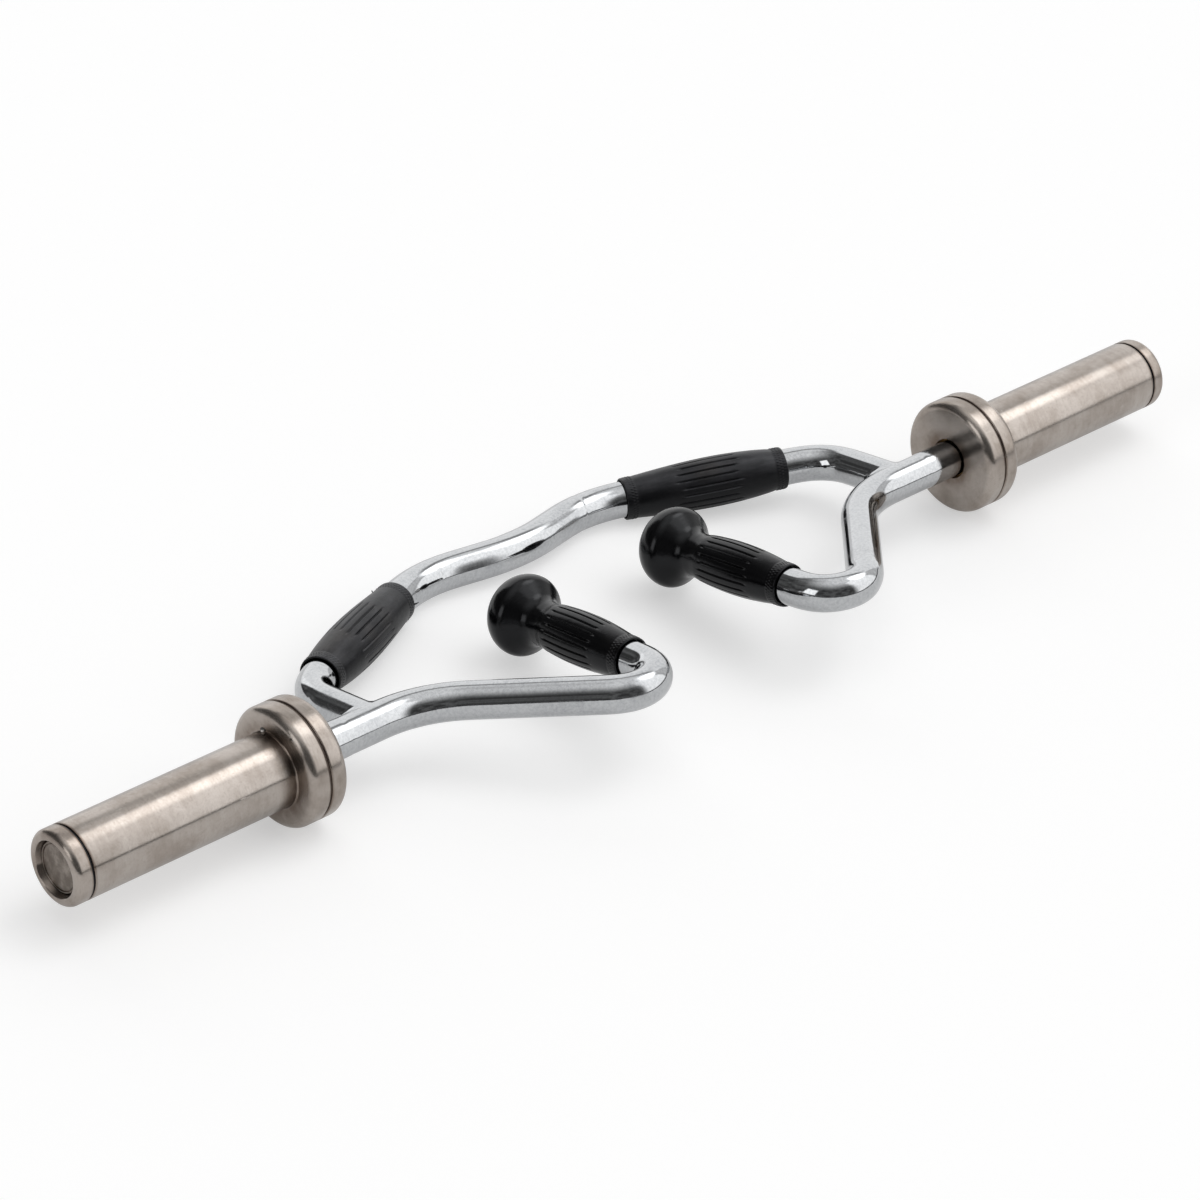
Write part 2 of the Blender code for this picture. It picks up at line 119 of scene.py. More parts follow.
def eased(path):
    """The same path with the start and end of each bend eased, as steel does in the bender.

    Each point becomes the mean of its neighbours, weighted by exp(-(d / BEND_EASE)^2 / 2) at a distance d.
    The ends stay where they are, because the path is carried on straight past them.
    """
    reach = math.ceil(3 * BEND_EASE / TUBE_SPACING)
    weights = np.exp(-(np.arange(-reach, reach + 1) * TUBE_SPACING / BEND_EASE) ** 2 / 2)
    weights = weights / weights.sum()
    on = np.arange(1, reach + 1)[:, None]
    before = path[0] - on[::-1] * (path[1] - path[0])
    after = path[-1] + on * (path[-1] - path[-2])
    longer = np.vstack((before, path, after))
    return np.column_stack([np.convolve(longer[:, k], weights, mode="valid") for k in range(2)])


def mirrored(points):
    """The same points on the other side of the bar's middle."""
    return [(-x, v) for x, v in points]


curl_half = [CURL_JOINT, CURL_SHOULDER, CURL_CREST, CURL_MIDDLE]
curl_corners = mirrored(curl_half) + curl_half[::-1]
curl_path = eased(evenly(rounded_path(curl_corners, CURL_BENDS + CURL_BENDS[::-1]), TUBE_SPACING))

# The frame tips about the bar until the inner end of the lower curl grip touches the floor with the collars.
grip_run = unit(np.subtract(CURL_CREST, CURL_SHOULDER))
grip_end = np.array(CURL_SHOULDER) + grip_run * (max(GRIP_STARTS.values()) + GRIP_LENGTH)
tipping = math.asin((bar_axis[2] - GRIP_END_RADIUS) / grip_end[1])


def placed(x, v, w=0.0):
    """World points from the frame's plane: x along the bar, v square to it, w over the plane.

    The plane leans down towards the curl bar by the tipping angle, about the bar's axis.
    """
    x, v, w = np.broadcast_arrays(x, v, w)
    c, s = math.cos(tipping), math.sin(tipping)
    return np.stack((x, bar_axis[1] + v * c + w * s, bar_axis[2] - v * s + w * c), axis=-1)


def shell(name, grid, run, wrap=False):
    """A closed mesh on a grid of points, whose rows follow each other and whose columns go round.

    Quads join each row to the next and the last column to the first. The first and last rows are closed by
    fans on their middle points or, with wrap, the last row joins the first as on a ring. The UV map holds the
    run along the piece in metres and the turn round it from 0 to 1. The faces are turned outwards by the sign
    of the enclosed volume, the sum of a . (b x c) / 6 over the triangles.
    """
    rows, columns = grid.shape[:2]
    points = grid.reshape(-1, 3)
    i = np.arange(rows if wrap else rows - 1)[:, None]
    j = np.arange(columns)[None, :]
    after, beside = (i + 1) % rows, (j + 1) % columns
    quads = np.stack(np.broadcast_arrays(i * columns + j, i * columns + beside,
                                         after * columns + beside, after * columns + j), -1).reshape(-1, 4)
    if wrap:
        run = np.append(run, run[-1] + np.linalg.norm(grid[0, 0] - grid[-1, 0]))
    u = np.stack(np.broadcast_arrays(run[i], run[i], run[i + 1], run[i + 1], j)[:4], -1).reshape(-1, 4)
    v = np.stack(np.broadcast_arrays(j, j + 1, j + 1, j, i)[:4], -1).reshape(-1, 4) / columns
    faces, uvs = [quads], [np.stack((u, v), -1)]
    if not wrap:
        for row, inner, outward in ((0, rows * columns, -1), (rows - 1, rows * columns + 1, 1)):
            middle = grid[row].mean(axis=0)
            points = np.vstack((points, middle))
            ring = row * columns + np.arange(columns)
            fan = np.stack((np.roll(ring, -1), ring, np.full(columns, inner)), -1)[:, ::-outward]
            end = run[row] + outward * np.linalg.norm(grid[row] - middle, axis=1).mean()
            turn = np.arange(columns) / columns
            corners = np.stack((turn + 1 / columns, turn, turn + 0.5 / columns), -1)
            heights = np.stack((np.full(columns, run[row]),) * 2 + (np.full(columns, end),), -1)
            faces.append(fan)
            uvs.append(np.stack((heights, corners), -1)[:, ::-outward])
    triangles = np.vstack([f[:, [0, k, k + 1]] for f in faces for k in range(1, f.shape[1] - 1)])
    a, b, c = (points[triangles[:, k]] for k in range(3))
    if np.einsum("ij,ij->i", a, np.cross(b, c)).sum() < 0:
        faces = [f[:, ::-1] for f in faces]
        uvs = [f[:, ::-1] for f in uvs]
    mesh = bpy.data.meshes.new(name)
    mesh.from_pydata(points.tolist(), [], [f for block in faces for f in block.tolist()])
    layer = mesh.uv_layers.new(name="skin")
    layer.data.foreach_set("uv", np.concatenate([block.reshape(-1, 2) for block in uvs]).ravel())
    mesh.shade_smooth()
    mesh.set_sharp_from_angle(angle=SHARP_EDGE)
    obj = bpy.data.objects.new(name, mesh)
    bpy.context.scene.collection.objects.link(obj)
    return obj


def finished(piece, body, slot, material, *nodes):
    """Gives a piece its material, its body and hides any nodes that it stands for. The slot is not used."""
    piece.data.materials.append(material)
    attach(piece, body)
    if nodes:
        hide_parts(*nodes)
    return piece


def add(tree, kind, inputs=None, **settings):
    """A shader node with its settings and inputs; an input that is another node's output is linked."""
    new = tree.nodes.new("ShaderNode" + kind)
    for key, value in settings.items():
        setattr(new, key, value)
    for key, value in (inputs or {}).items():
        if isinstance(value, bpy.types.NodeSocket):
            tree.links.new(value, new.inputs[key])
        else:
            new.inputs[key].default_value = value
    return new


def material_tree(name):
    """A new material, with its node tree and its Principled shader."""
    material = bpy.data.materials.new(name)
    material.use_nodes = True
    return material, material.node_tree, material.node_tree.nodes["Principled BSDF"]


def noise(tree, vector, scale, detail=3.0, roughness=0.5):
    """The grey value of a noise pattern; the scale is in bumps per metre."""
    return add(tree, "TexNoise", {"Vector": vector, "Scale": scale, "Detail": detail,
                                  "Roughness": roughness}).outputs["Fac"]


def ranged(tree, value, low, high, to_low=0.0, to_high=1.0):
    """A value carried from one range to another and held at its ends, along a smooth step."""
    return add(tree, "MapRange", {"Value": value, "From Min": low, "From Max": high, "To Min": to_low,
                                  "To Max": to_high}, interpolation_type="SMOOTHSTEP").outputs["Result"]


def times(tree, a, b):
    """The product of two values."""
    return add(tree, "Math", {0: a, 1: b}, operation="MULTIPLY").outputs[0]


def mixed(tree, share, a, b):
    """Colour a where the share is 0 and colour b where it is 1."""
    mix = add(tree, "Mix", {"Factor": share}, data_type="RGBA")
    for socket, value in ((mix.inputs[6], a), (mix.inputs[7], b)):
        if isinstance(value, bpy.types.NodeSocket):
            tree.links.new(value, socket)
        else:
            socket.default_value = value
    return mix.outputs[2]


CHROME_BRIGHT = (0.550, 0.560, 0.570, 1)
CHROME_CLOUDED = (0.405, 0.415, 0.430, 1)
CHROME_PIT = (0.05, 0.05, 0.05, 1)
CHROME_ROUGHNESS = 0.065
CHROME_RIPPLE = 0.00005


def chrome_plate(name, ripple_height):
    """Polished chrome over ground steel: mirror bright and rippled, with haze, mottling, pits and wipes."""
    material, tree, shader = material_tree(name)
    place = add(tree, "TexCoord").outputs["Object"]
    skin = add(tree, "UVMap", uv_map="skin").outputs["UV"]
    haze = ranged(tree, noise(tree, place, 30, 5, 0.6), 0.50, 0.70)
    mottle = noise(tree, place, 520, 5, 0.75)
    cells = add(tree, "TexVoronoi", {"Vector": place, "Scale": 95.0}).outputs
    chance = add(tree, "SeparateColor", {"Color": cells["Color"]}).outputs[0]
    pit = times(tree, ranged(tree, cells["Distance"], 0.05, 0.09, 1, 0), ranged(tree, chance, 0.86, 0.90))
    stretched = add(tree, "Mapping", {"Vector": skin, "Scale": (60.0, 40.0, 1.0)}).outputs["Vector"]
    wipes = ranged(tree, noise(tree, stretched, 8, 5, 0.6), 0.5, 0.8)
    worn = add(tree, "Math", {0: times(tree, haze, 0.35), 1: ranged(tree, mottle, 0.35, 0.72, 0, 0.8)},
               operation="ADD")
    colour = mixed(tree, worn.outputs[0], CHROME_BRIGHT, CHROME_CLOUDED)
    colour = mixed(tree, pit, colour, CHROME_PIT)
    tree.links.new(colour, shader.inputs["Base Color"])
    shader.inputs["Metallic"].default_value = 1.0
    dull = add(tree, "Math", {0: times(tree, haze, 0.13), 1: times(tree, wipes, 0.05)}, operation="ADD")
    rough = add(tree, "Math", {0: dull.outputs[0], 1: times(tree, pit, 0.3)}, operation="ADD").outputs[0]
    rough = add(tree, "Math", {0: rough, 1: CHROME_ROUGHNESS}, operation="ADD").outputs[0]
    tree.links.new(rough, shader.inputs["Roughness"])
    waves = noise(tree, place, 90, 2)
    ripple = add(tree, "Bump", {"Height": waves, "Strength": 1.0, "Distance": ripple_height})
    grain = add(tree, "Bump", {"Height": mottle, "Strength": 1.0, "Distance": 0.000012,
                               "Normal": ripple.outputs["Normal"]})
    dent = add(tree, "Bump", {"Height": pit, "Strength": 1.0, "Distance": 0.0002,
                              "Normal": grain.outputs["Normal"]}, invert=True)
    tree.links.new(dent.outputs["Normal"], shader.inputs["Normal"])
    return material


FOOT_BITE = 0.0003
FOOT_REACH = 0.08
HALVINGS = 30


def distance_to(points, path):
    """Distance from each 3D point to a polyline in the plane w = 0, and the nearest point on it.

    On each stretch the nearest point lies at the share ((p - a) . ab) / (ab . ab), held between 0 and 1.
    """
    a, ab = path[:-1], np.diff(path, axis=0)
    share = np.clip(((points[:, None, :2] - a) * ab).sum(-1) / (ab * ab).sum(-1), 0, 1)
    near = a + share[..., None] * ab
    gap = np.hypot(np.linalg.norm(points[:, None, :2] - near, axis=-1), points[:, None, 2])
    best = gap.argmin(axis=1)
    rows = np.arange(len(points))
    return gap[rows, best], np.column_stack((near[rows, best], np.zeros(len(points))))


def height_at(start, up, path, gap):
    """How far each start point moves along up until its distance to the path is the gap, by halving."""
    low, high = np.zeros(len(start)), np.full(len(start), FOOT_REACH)
    for _ in range(HALVINGS):
        middle = (low + high) / 2
        near = distance_to(start + middle[:, None] * up, path)[0] < gap
        low, high = np.where(near, middle, low), np.where(near, high, middle)
    return high


SPINDLE_START = 0.2560
SPINDLE_REACH = 0.05
TUBE_IN_GRIP = 0.0900
HANDLE_GRIP_START = 0.0715
handle_run = unit(np.subtract(HANDLE_TIP, HANDLE_ELBOW))
handle_end = np.array(HANDLE_ELBOW) + handle_run * (HANDLE_GRIP_START + TUBE_IN_GRIP)
handle_corners = [(SPINDLE_START, 0.0), HANDLE_BRANCH, HANDLE_ELBOW, handle_end]
handle_path = eased(evenly(rounded_path(handle_corners, HANDLE_BENDS), TUBE_SPACING))
# The line that the foot is coped to: the handle tube's, carried on straight into the spindle.
spindle_line = np.vstack(((SPINDLE_START + SPINDLE_REACH, 0.0), handle_path))

angles = np.linspace(0, 2 * math.pi, TUBE_SIDES, endpoint=False)
joint = np.array((*CURL_JOINT, 0.0))
foot_up = unit(np.array((*np.subtract(CURL_SHOULDER, CURL_JOINT), 0.0)))
foot_across = np.array((foot_up[1], -foot_up[0], 0.0))
round_foot = np.cos(angles)[:, None] * foot_across + np.sin(angles)[:, None] * np.array((0, 0, 1.0))


BEND_FLAT = 0.0010
FLAT_EASE_ROWS = 33
CURL_FLAT_BEND = 0.05


def tube_grid(path, radius, flat_bend):
    """Rows of a round tube along a plane path: the path point plus the radius times the direction round it.

    At column angle t the direction is cos(t) across the path and sin(t) over the plane. The outer side of a
    bend is flatter by BEND_FLAT * (share * cos t)^2, where the share is flat_bend over the bend's radius,
    eased along the tube and 1 at most.
    """
    tangent = unit(np.gradient(path, axis=0))
    across = np.column_stack((tangent[:, 1], -tangent[:, 0]))
    curving = np.gradient(np.unwrap(np.arctan2(tangent[:, 1], tangent[:, 0]))) / TUBE_SPACING
    window = np.hanning(FLAT_EASE_ROWS)
    flat = np.convolve(curving * flat_bend, window / window.sum(), mode="same").clip(-1, 1)
    side = np.cos(angles)[None, :]
    spread = radius - BEND_FLAT * np.maximum(0, flat[:, None] * side) ** 2
    x = path[:, :1] + spread * side * across[:, :1]
    v = path[:, 1:] + spread * side * across[:, 1:]
    w = spread * np.sin(angles)[None, :]
    return x, v, w


DIE_RING = 0.3797
DIE_RING_DEPTH = 0.00019
DIE_RING_WIDTH = 0.0014
DIE_LEAN = 0.0032
DIE_LEAN_TURN = 2.0
DIE_STEP_DEPTH = 0.00012
DIE_STEP_EDGE = 0.0006
DIE_STEP_LENGTH = 0.020
NICK_PLACE = 0.2470
NICK_DEPTH = 0.00030
NICK_WIDTH = 0.0010
NICK_TURN = math.radians(34)
NICK_SPAN = math.radians(17)

curl_run = running(curl_path)
# The bending die left a ring and a small step right round the tube, and a nick on its upper front. Ring and
# nick are hollows of depth * exp(-(distance / width)^2), and past the ring the step fades along the tube.
past_ring = curl_run[:, None] - DIE_RING - DIE_LEAN * np.cos(angles - DIE_LEAN_TURN)
ring = DIE_RING_DEPTH * np.exp(-(past_ring / DIE_RING_WIDTH) ** 2)
die_step = DIE_STEP_DEPTH / (1 + np.exp(-past_ring / DIE_STEP_EDGE))
die_step = die_step * np.exp(-np.maximum(0, past_ring) / DIE_STEP_LENGTH)
nick = NICK_DEPTH * np.exp(-((curl_run - NICK_PLACE) / NICK_WIDTH) ** 2)[:, None]
nick = nick * np.exp(-((angles - NICK_TURN) / NICK_SPAN) ** 2)
x, v, w = tube_grid(curl_path, TUBE_RADIUS - ring - die_step - nick, CURL_FLAT_BEND)
# Each foot is lifted along the tube, most at its end, until it stands on the round back of the handle tube.
straight = np.linalg.norm(np.subtract(CURL_SHOULDER, CURL_JOINT)) / 2
coping = height_at(joint + TUBE_RADIUS * round_foot, foot_up, spindle_line, TUBE_RADIUS - FOOT_BITE)
for side, distance, columns in ((-1, curl_run, np.arange(TUBE_SIDES)),
                                (1, curl_run[-1] - curl_run, (TUBE_SIDES // 2 - np.arange(TUBE_SIDES)))):
    fade = np.maximum(0, 1 - distance / straight)[:, None]
    lift = fade * coping[(TUBE_SIDES // 2 - columns) % TUBE_SIDES][None, :]
    x = x + side * foot_up[0] * lift
    v = v + foot_up[1] * lift
chrome = chrome_plate("chrome_plate", CHROME_RIPPLE)
curl_bar = shell("curl_bar_skin", placed(x, v, w), curl_run)
finished(curl_bar, "frame", "chrome", chrome, "curl_bar")


# Handle tubes
# Two shorter tubes of the same size. Each runs straight in from its spindle, branches off under the foot of
# the curl bar, turns back sharply at the elbow and ends inside its grip. The weld to the spindle is ground
# flush, so nothing is left of it to see.

HANDLE_FLAT_BEND = 0.03

for name, side in SIDES:
    x, v, w = tube_grid(handle_path, TUBE_RADIUS, HANDLE_FLAT_BEND)
    tube = shell(name + "_handle_tube_skin", placed(side * x, v, w), running(handle_path))
    finished(tube, "frame", "chrome", chrome, name + "_handle_tube", name + "_spindle_weld")


# Joint beads
# The weld where each foot of the curl bar meets its handle tube, ground by hand to an uneven hollow and
# plated with the tubes.

BEAD_HOLLOW = 0.0085
BEAD_STEPS = 10
BEAD_BITE = 0.0004
WELD_RIPPLE = 0.00016

# The hollow is what a ball rolled round the joint would leave, and its radius wavers by up to 14 hundredths.
hollow_radius = BEAD_HOLLOW * (1 + 0.09 * np.sin(5 * angles + 1) + 0.05 * np.sin(13 * angles))
ball = joint + (TUBE_RADIUS + hollow_radius)[:, None] * round_foot
ball = ball + height_at(ball, foot_up, spindle_line, TUBE_RADIUS + hollow_radius)[:, None] * foot_up
ball_to_handle = -unit(ball - distance_to(ball, spindle_line)[1])
opening = np.arccos(np.clip((-round_foot * ball_to_handle).sum(-1), -1, 1))


def bead_arc(share):
    """Points of the hollow, at a share of the way from the curl bar's skin to the handle tube's.

    Each is the middle of a rolling ball plus its radius times a direction, which turns evenly: the two end
    directions are weighted by the sines of the angles left and passed, over the sine of the whole angle.
    """
    a = np.sin((1 - share) * opening) / np.sin(opening)
    b = np.sin(share * opening) / np.sin(opening)
    return ball + hollow_radius[:, None] * (b[:, None] * ball_to_handle - a[:, None] * round_foot)


hollow = [bead_arc(share) for share in np.linspace(0, 1, BEAD_STEPS)]
under_curl = hollow[0] - BEAD_BITE * round_foot
under_handle = hollow[-1] + BEAD_BITE * ball_to_handle
root = joint + (TUBE_RADIUS - 2 * BEAD_BITE) * round_foot + (coping - BEAD_BITE)[:, None] * foot_up
section = np.stack([under_curl, *hollow, under_handle, root], axis=1)
weld_chrome = chrome_plate("weld_chrome", WELD_RIPPLE)
for name, side in SIDES:
    bead = shell(name + "_joint_hollow", placed(side * section[..., 0], section[..., 1], section[..., 2]),
                 TUBE_RADIUS * angles, wrap=True)
    finished(bead, "frame", "chrome", weld_chrome, name + "_joint_bead")


# Spindles
# Solid chromed shafts welded to the ends of the handle tubes. The sleeves turn on them, and a washer and a
# socket bolt in the end of each spindle keep its sleeve on.

SPINDLE_RADIUS = 0.0127
SPINDLE_TAPER = 0.0060
JOURNAL_RADIUS = 0.0112
SPINDLE_CHAMFER = 0.0005
TAPER_ROWS = 13
TAPER_REST = 0.0020
SHAFT_ROWS = 60
SPINDLE_STEP = 0.4280
SPINDLE_END = 0.4547
BOLT_HOLE = 0.0050
BOLT_HOLE_DEPTH = 0.0186
LATHE_SIDES = 160


def turned(name, side, profile, wrap=False, sides=LATHE_SIDES):
    """A profile of (distance from the bar's middle, radius) pairs turned about the bar's axis.

    Each profile point goes round as radius * (cos t, sin t) in the plane square to the axis.
    """
    profile = np.asarray(profile, float)
    t = np.linspace(0, 2 * math.pi, sides, endpoint=False)[None, :]
    distance, radius = profile[:, :1], profile[:, 1:]
    points = np.stack(np.broadcast_arrays(side * distance, bar_axis[1] + radius * np.cos(t),
                                          bar_axis[2] + radius * np.sin(t)), axis=-1)
    return shell(name, points, running(profile), wrap)


taper = np.linspace(0, 1, TAPER_ROWS)
taper_radius = TUBE_RADIUS + (SPINDLE_RADIUS - TUBE_RADIUS) * (1 - np.cos(math.pi * taper)) / 2
shaft = np.linspace(SPINDLE_START + SPINDLE_TAPER + TAPER_REST, SPINDLE_STEP - SPINDLE_CHAMFER, SHAFT_ROWS)
spindle_profile = np.vstack((
    np.column_stack((SPINDLE_START + SPINDLE_TAPER * taper, taper_radius)),
    np.column_stack((shaft, np.full(SHAFT_ROWS, SPINDLE_RADIUS))),
    ((SPINDLE_STEP, SPINDLE_RADIUS - SPINDLE_CHAMFER), (SPINDLE_STEP, JOURNAL_RADIUS),
     (SPINDLE_END, JOURNAL_RADIUS), (SPINDLE_END, BOLT_HOLE), (SPINDLE_END - BOLT_HOLE_DEPTH, BOLT_HOLE))))
for name, side in SIDES:
    spindle = turned(name + "_spindle_skin", side, spindle_profile, sides=TUBE_SIDES)
    finished(spindle, "frame", "chrome", chrome, name + "_spindle")


# Sleeves
# The 50 mm tubes that plates slide on, turned from stainless steel and left as machined. They are worn dull
# and scuffed by plates, with fine rings from the lathe.

SLEEVE_RADIUS = 0.0250
SLEEVE_BORE = 0.0190
SLEEVE_NEAR = 0.2928
SLEEVE_END = 0.4685
SLEEVE_CHAMFER = 0.0005
SLEEVE_SEAM = (0.40, 0.41)
COLLAR_FACE = 0.3145
CLEARANCE = 0.0003
RING_SHADE = (0.20, 0.16, 0.135, 1)
GRIT_SHADE = (0.20, 0.155, 0.125, 1)
SCUFF_BRIGHT = (0.60, 0.56, 0.53, 1)
# Brown for the corners: partly grime, partly painted shade.
GRIME_AND_SHADE = (0.118, 0.078, 0.054, 1)
PIT_SHADE_DARK = (0.020, 0.015, 0.012, 1)
RING_FINENESS = 26.0
COARSE_STEP = math.radians(15)


def turned_steel(name, light, dark, roughness, corners, wear=1.0, blotches=38, pit=None):
    """Stainless steel off the lathe: fine rings round the axis, blotches of handling, and scuffs.

    Its corners are darkened brown, partly by grime and partly as painted shade where they lie in shade.
    A corner is a ring at (distance from the bar's middle, radius) with the reach of its darkening: the
    darkening fades with hypot(distance - ring, radius - ring radius) / reach.
    A pit is a small hole, drawn as a spot of painted shade at a place measured from the middle of the bar.
    """
    material, tree, shader = material_tree(name)
    place = add(tree, "TexCoord").outputs["Object"]
    skin = add(tree, "UVMap", uv_map="skin").outputs["UV"]
    run = add(tree, "SeparateXYZ", {"Vector": skin}).outputs["X"]
    centred = add(tree, "VectorMath", {0: place, 1: tuple(bar_axis)}, operation="SUBTRACT").outputs["Vector"]
    across = add(tree, "SeparateXYZ", {"Vector": centred}).outputs
    drawn_out = times(tree, run, RING_FINENESS)
    ringed = add(tree, "CombineXYZ", {"X": drawn_out, "Y": across["Y"], "Z": across["Z"]}).outputs[0]
    rings = noise(tree, ringed, 110, 4, 0.7)
    bands = noise(tree, ringed, 7, 3, 0.6)
    blotch = noise(tree, place, blotches, 6, 0.65)
    grit = noise(tree, place, 700, 3, 0.7)
    scuff_place = add(tree, "Mapping", {"Vector": place, "Scale": (9.0, 60.0, 60.0),
                                        "Rotation": (0.0, 0.12, 0.08)}).outputs["Vector"]
    scuffs = ranged(tree, noise(tree, scuff_place, 9, 4, 0.55), 0.66, 0.76)
    worn = add(tree, "Math", {0: times(tree, bands, 0.2), 1: times(tree, blotch, wear)}, operation="ADD")
    colour = mixed(tree, ranged(tree, worn.outputs[0], 0.42, 0.82), light, dark)
    colour = mixed(tree, times(tree, ranged(tree, rings, 0.35, 0.75), 0.14), colour, RING_SHADE)
    colour = mixed(tree, times(tree, ranged(tree, grit, 0.50, 0.75), 0.25 * wear), colour, GRIT_SHADE)
    colour = mixed(tree, times(tree, scuffs, 0.25 * wear), colour, SCUFF_BRIGHT)
    distance = add(tree, "Math", {0: across["X"]}, operation="ABSOLUTE").outputs[0]
    flat = add(tree, "CombineXYZ", {"Y": across["Y"], "Z": across["Z"]}).outputs[0]
    radius = add(tree, "VectorMath", {0: flat}, operation="LENGTH").outputs["Value"]
    profile_place = add(tree, "CombineXYZ", {"X": distance, "Y": radius}).outputs[0]
    patchy = ranged(tree, blotch, 0.30, 0.60, 0.45, 1.0)
    # Painted shade, partly grime: each corner is darkened brown towards its ring.
    for ring_distance, ring_radius, reach in corners:
        ring_place = (ring_distance, ring_radius, 0)
        off = add(tree, "VectorMath", {0: profile_place, 1: ring_place}, operation="DISTANCE")
        grime_and_shade = times(tree, ranged(tree, off.outputs["Value"], 0.0004, reach, 0.75, 0), patchy)
        colour = mixed(tree, grime_and_shade, colour, GRIME_AND_SHADE)
    # The pit's dark spot is painted shade, the shade inside a small hole.
    if pit:
        off = add(tree, "VectorMath", {0: centred, 1: pit}, operation="DISTANCE")
        pit_shade_spot = ranged(tree, off.outputs["Value"], 0.0006, 0.0011, 0.9, 0)
        colour = mixed(tree, pit_shade_spot, colour, PIT_SHADE_DARK)
    tree.links.new(colour, shader.inputs["Base Color"])
    shader.inputs["Metallic"].default_value = 1.0
    shader.inputs["Anisotropic"].default_value = 0.9
    uneven = add(tree, "Math", {0: times(tree, blotch, 0.10), 1: times(tree, rings, 0.06)}, operation="ADD")
    rough = add(tree, "Math", {0: uneven.outputs[0], 1: roughness - 0.08}, operation="ADD").outputs[0]
    tree.links.new(rough, shader.inputs["Roughness"])
    lathe = add(tree, "Bump", {"Height": rings, "Strength": 1.0, "Distance": 0.000006})
    marks = add(tree, "Bump", {"Height": times(tree, scuffs, wear), "Strength": 1.0, "Distance": 0.00003,
                               "Normal": lathe.outputs["Normal"]})
    tree.links.new(marks.outputs["Normal"], shader.inputs["Normal"])
    tangent = add(tree, "Tangent", direction_type="UV_MAP", uv_map="skin")
    tree.links.new(tangent.outputs["Tangent"], shader.inputs["Tangent"])
    return material


sleeve_steel = turned_steel("sleeve_steel", (0.470, 0.427, 0.390, 1), (0.335, 0.290, 0.254, 1), 0.22,
                            corners=((COLLAR_FACE, SLEEVE_RADIUS, 0.016),
                                     (SLEEVE_END, SLEEVE_RADIUS, 0.0022)))
# A closed profile starts and ends at its seam, two points out of sight in the bore.
sleeve_profile = rounded_path(
    [(SLEEVE_SEAM[0], SLEEVE_BORE), (SLEEVE_NEAR, SLEEVE_BORE), (SLEEVE_NEAR, SLEEVE_RADIUS),
     (SLEEVE_END, SLEEVE_RADIUS), (SLEEVE_END, SLEEVE_BORE), (SLEEVE_SEAM[1], SLEEVE_BORE)],
    [0, SLEEVE_CHAMFER, SLEEVE_CHAMFER, 0], step=COARSE_STEP)
for name, side in SIDES:
    sleeve = turned(name + "_sleeve_skin", side, sleeve_profile, wrap=True)
    finished(sleeve, name + "_sleeve_body", "satin_steel", sleeve_steel, name + "_sleeve")


# Collars
# Each collar is two thick turned rings with rounded shoulders, pressed on the sleeve with a dark packing ring
# between them. The outer ring runs into the sleeve with a small bright hollow, and the inner one closes the
# sleeve round the spindle.

COLLAR_RADIUS = 0.0402
COLLAR_HALF_WIDTH = 0.0145
COLLAR_CENTRE = COLLAR_FACE - COLLAR_HALF_WIDTH
COLLAR_GROOVE = 0.0014
GROOVE_EDGE = 0.0010
COLLAR_SHOULDER = 0.0058
COLLAR_HOLE = 0.0142
COLLAR_WEB = 0.0070
COLLAR_HOLLOW = 0.0013
OUTER_RING_SEAM = (0.3090, 0.3100)
INNER_RING_SEAM = (0.2960, 0.2950)
RING_FIT = 0.0001
EDGE = 0.0003
FINE_STEP = math.radians(7.5)
PACKING_RADIUS = 0.0393
PACKING_WIDTH = 0.0012
PACKING_RUSTY = (0.13, 0.088, 0.064, 1)
PACKING_BLACK = (0.045, 0.032, 0.025, 1)
COLLAR_PIT = (-0.3145, -0.01723, 0.03161)

collar_steel = turned_steel(
    "collar_steel", (0.445, 0.400, 0.362, 1), (0.275, 0.232, 0.198, 1), 0.25, wear=0.9, pit=COLLAR_PIT,
    corners=((COLLAR_FACE, SLEEVE_RADIUS, 0.012), (COLLAR_CENTRE, COLLAR_RADIUS, 0.0024),
             (COLLAR_CENTRE - COLLAR_HALF_WIDTH, COLLAR_HOLE, 0.010)))
packing, packing_tree, packing_shader = material_tree("collar_packing")
packing_place = add(packing_tree, "TexCoord").outputs["Object"]
packing_grime = noise(packing_tree, packing_place, 260, 4)
packing_tree.links.new(mixed(packing_tree, packing_grime, PACKING_RUSTY, PACKING_BLACK),
                       packing_shader.inputs["Base Color"])
packing_shader.inputs["Roughness"].default_value = 0.6
packing_bump = add(packing_tree, "Bump", {"Height": packing_grime, "Strength": 1.0, "Distance": 0.0001})
packing_tree.links.new(packing_bump.outputs["Normal"], packing_shader.inputs["Normal"])

seat = SLEEVE_RADIUS + CLEARANCE
outer_seat = SLEEVE_RADIUS + RING_FIT
collar_far = COLLAR_CENTRE + COLLAR_HALF_WIDTH
collar_near = COLLAR_CENTRE - COLLAR_HALF_WIDTH
groove_far = COLLAR_CENTRE + COLLAR_GROOVE / 2
groove_near = COLLAR_CENTRE - COLLAR_GROOVE / 2
outer_ring = rounded_path(
    [(OUTER_RING_SEAM[0], outer_seat), (groove_far, outer_seat), (groove_far, COLLAR_RADIUS),
     (collar_far, COLLAR_RADIUS), (collar_far, outer_seat), (collar_far + COLLAR_HOLLOW, outer_seat),
     (OUTER_RING_SEAM[1], outer_seat)],
    [0, GROOVE_EDGE, COLLAR_SHOULDER, COLLAR_HOLLOW, 0], step=FINE_STEP)
inner_ring = rounded_path(
    [(INNER_RING_SEAM[0], seat), (groove_near, seat), (groove_near, COLLAR_RADIUS),
     (collar_near, COLLAR_RADIUS), (collar_near, COLLAR_HOLE), (collar_near + COLLAR_WEB, COLLAR_HOLE),
     (collar_near + COLLAR_WEB, seat), (INNER_RING_SEAM[1], seat)],
    [0, GROOVE_EDGE, COLLAR_SHOULDER, EDGE, 0, 0], step=FINE_STEP)
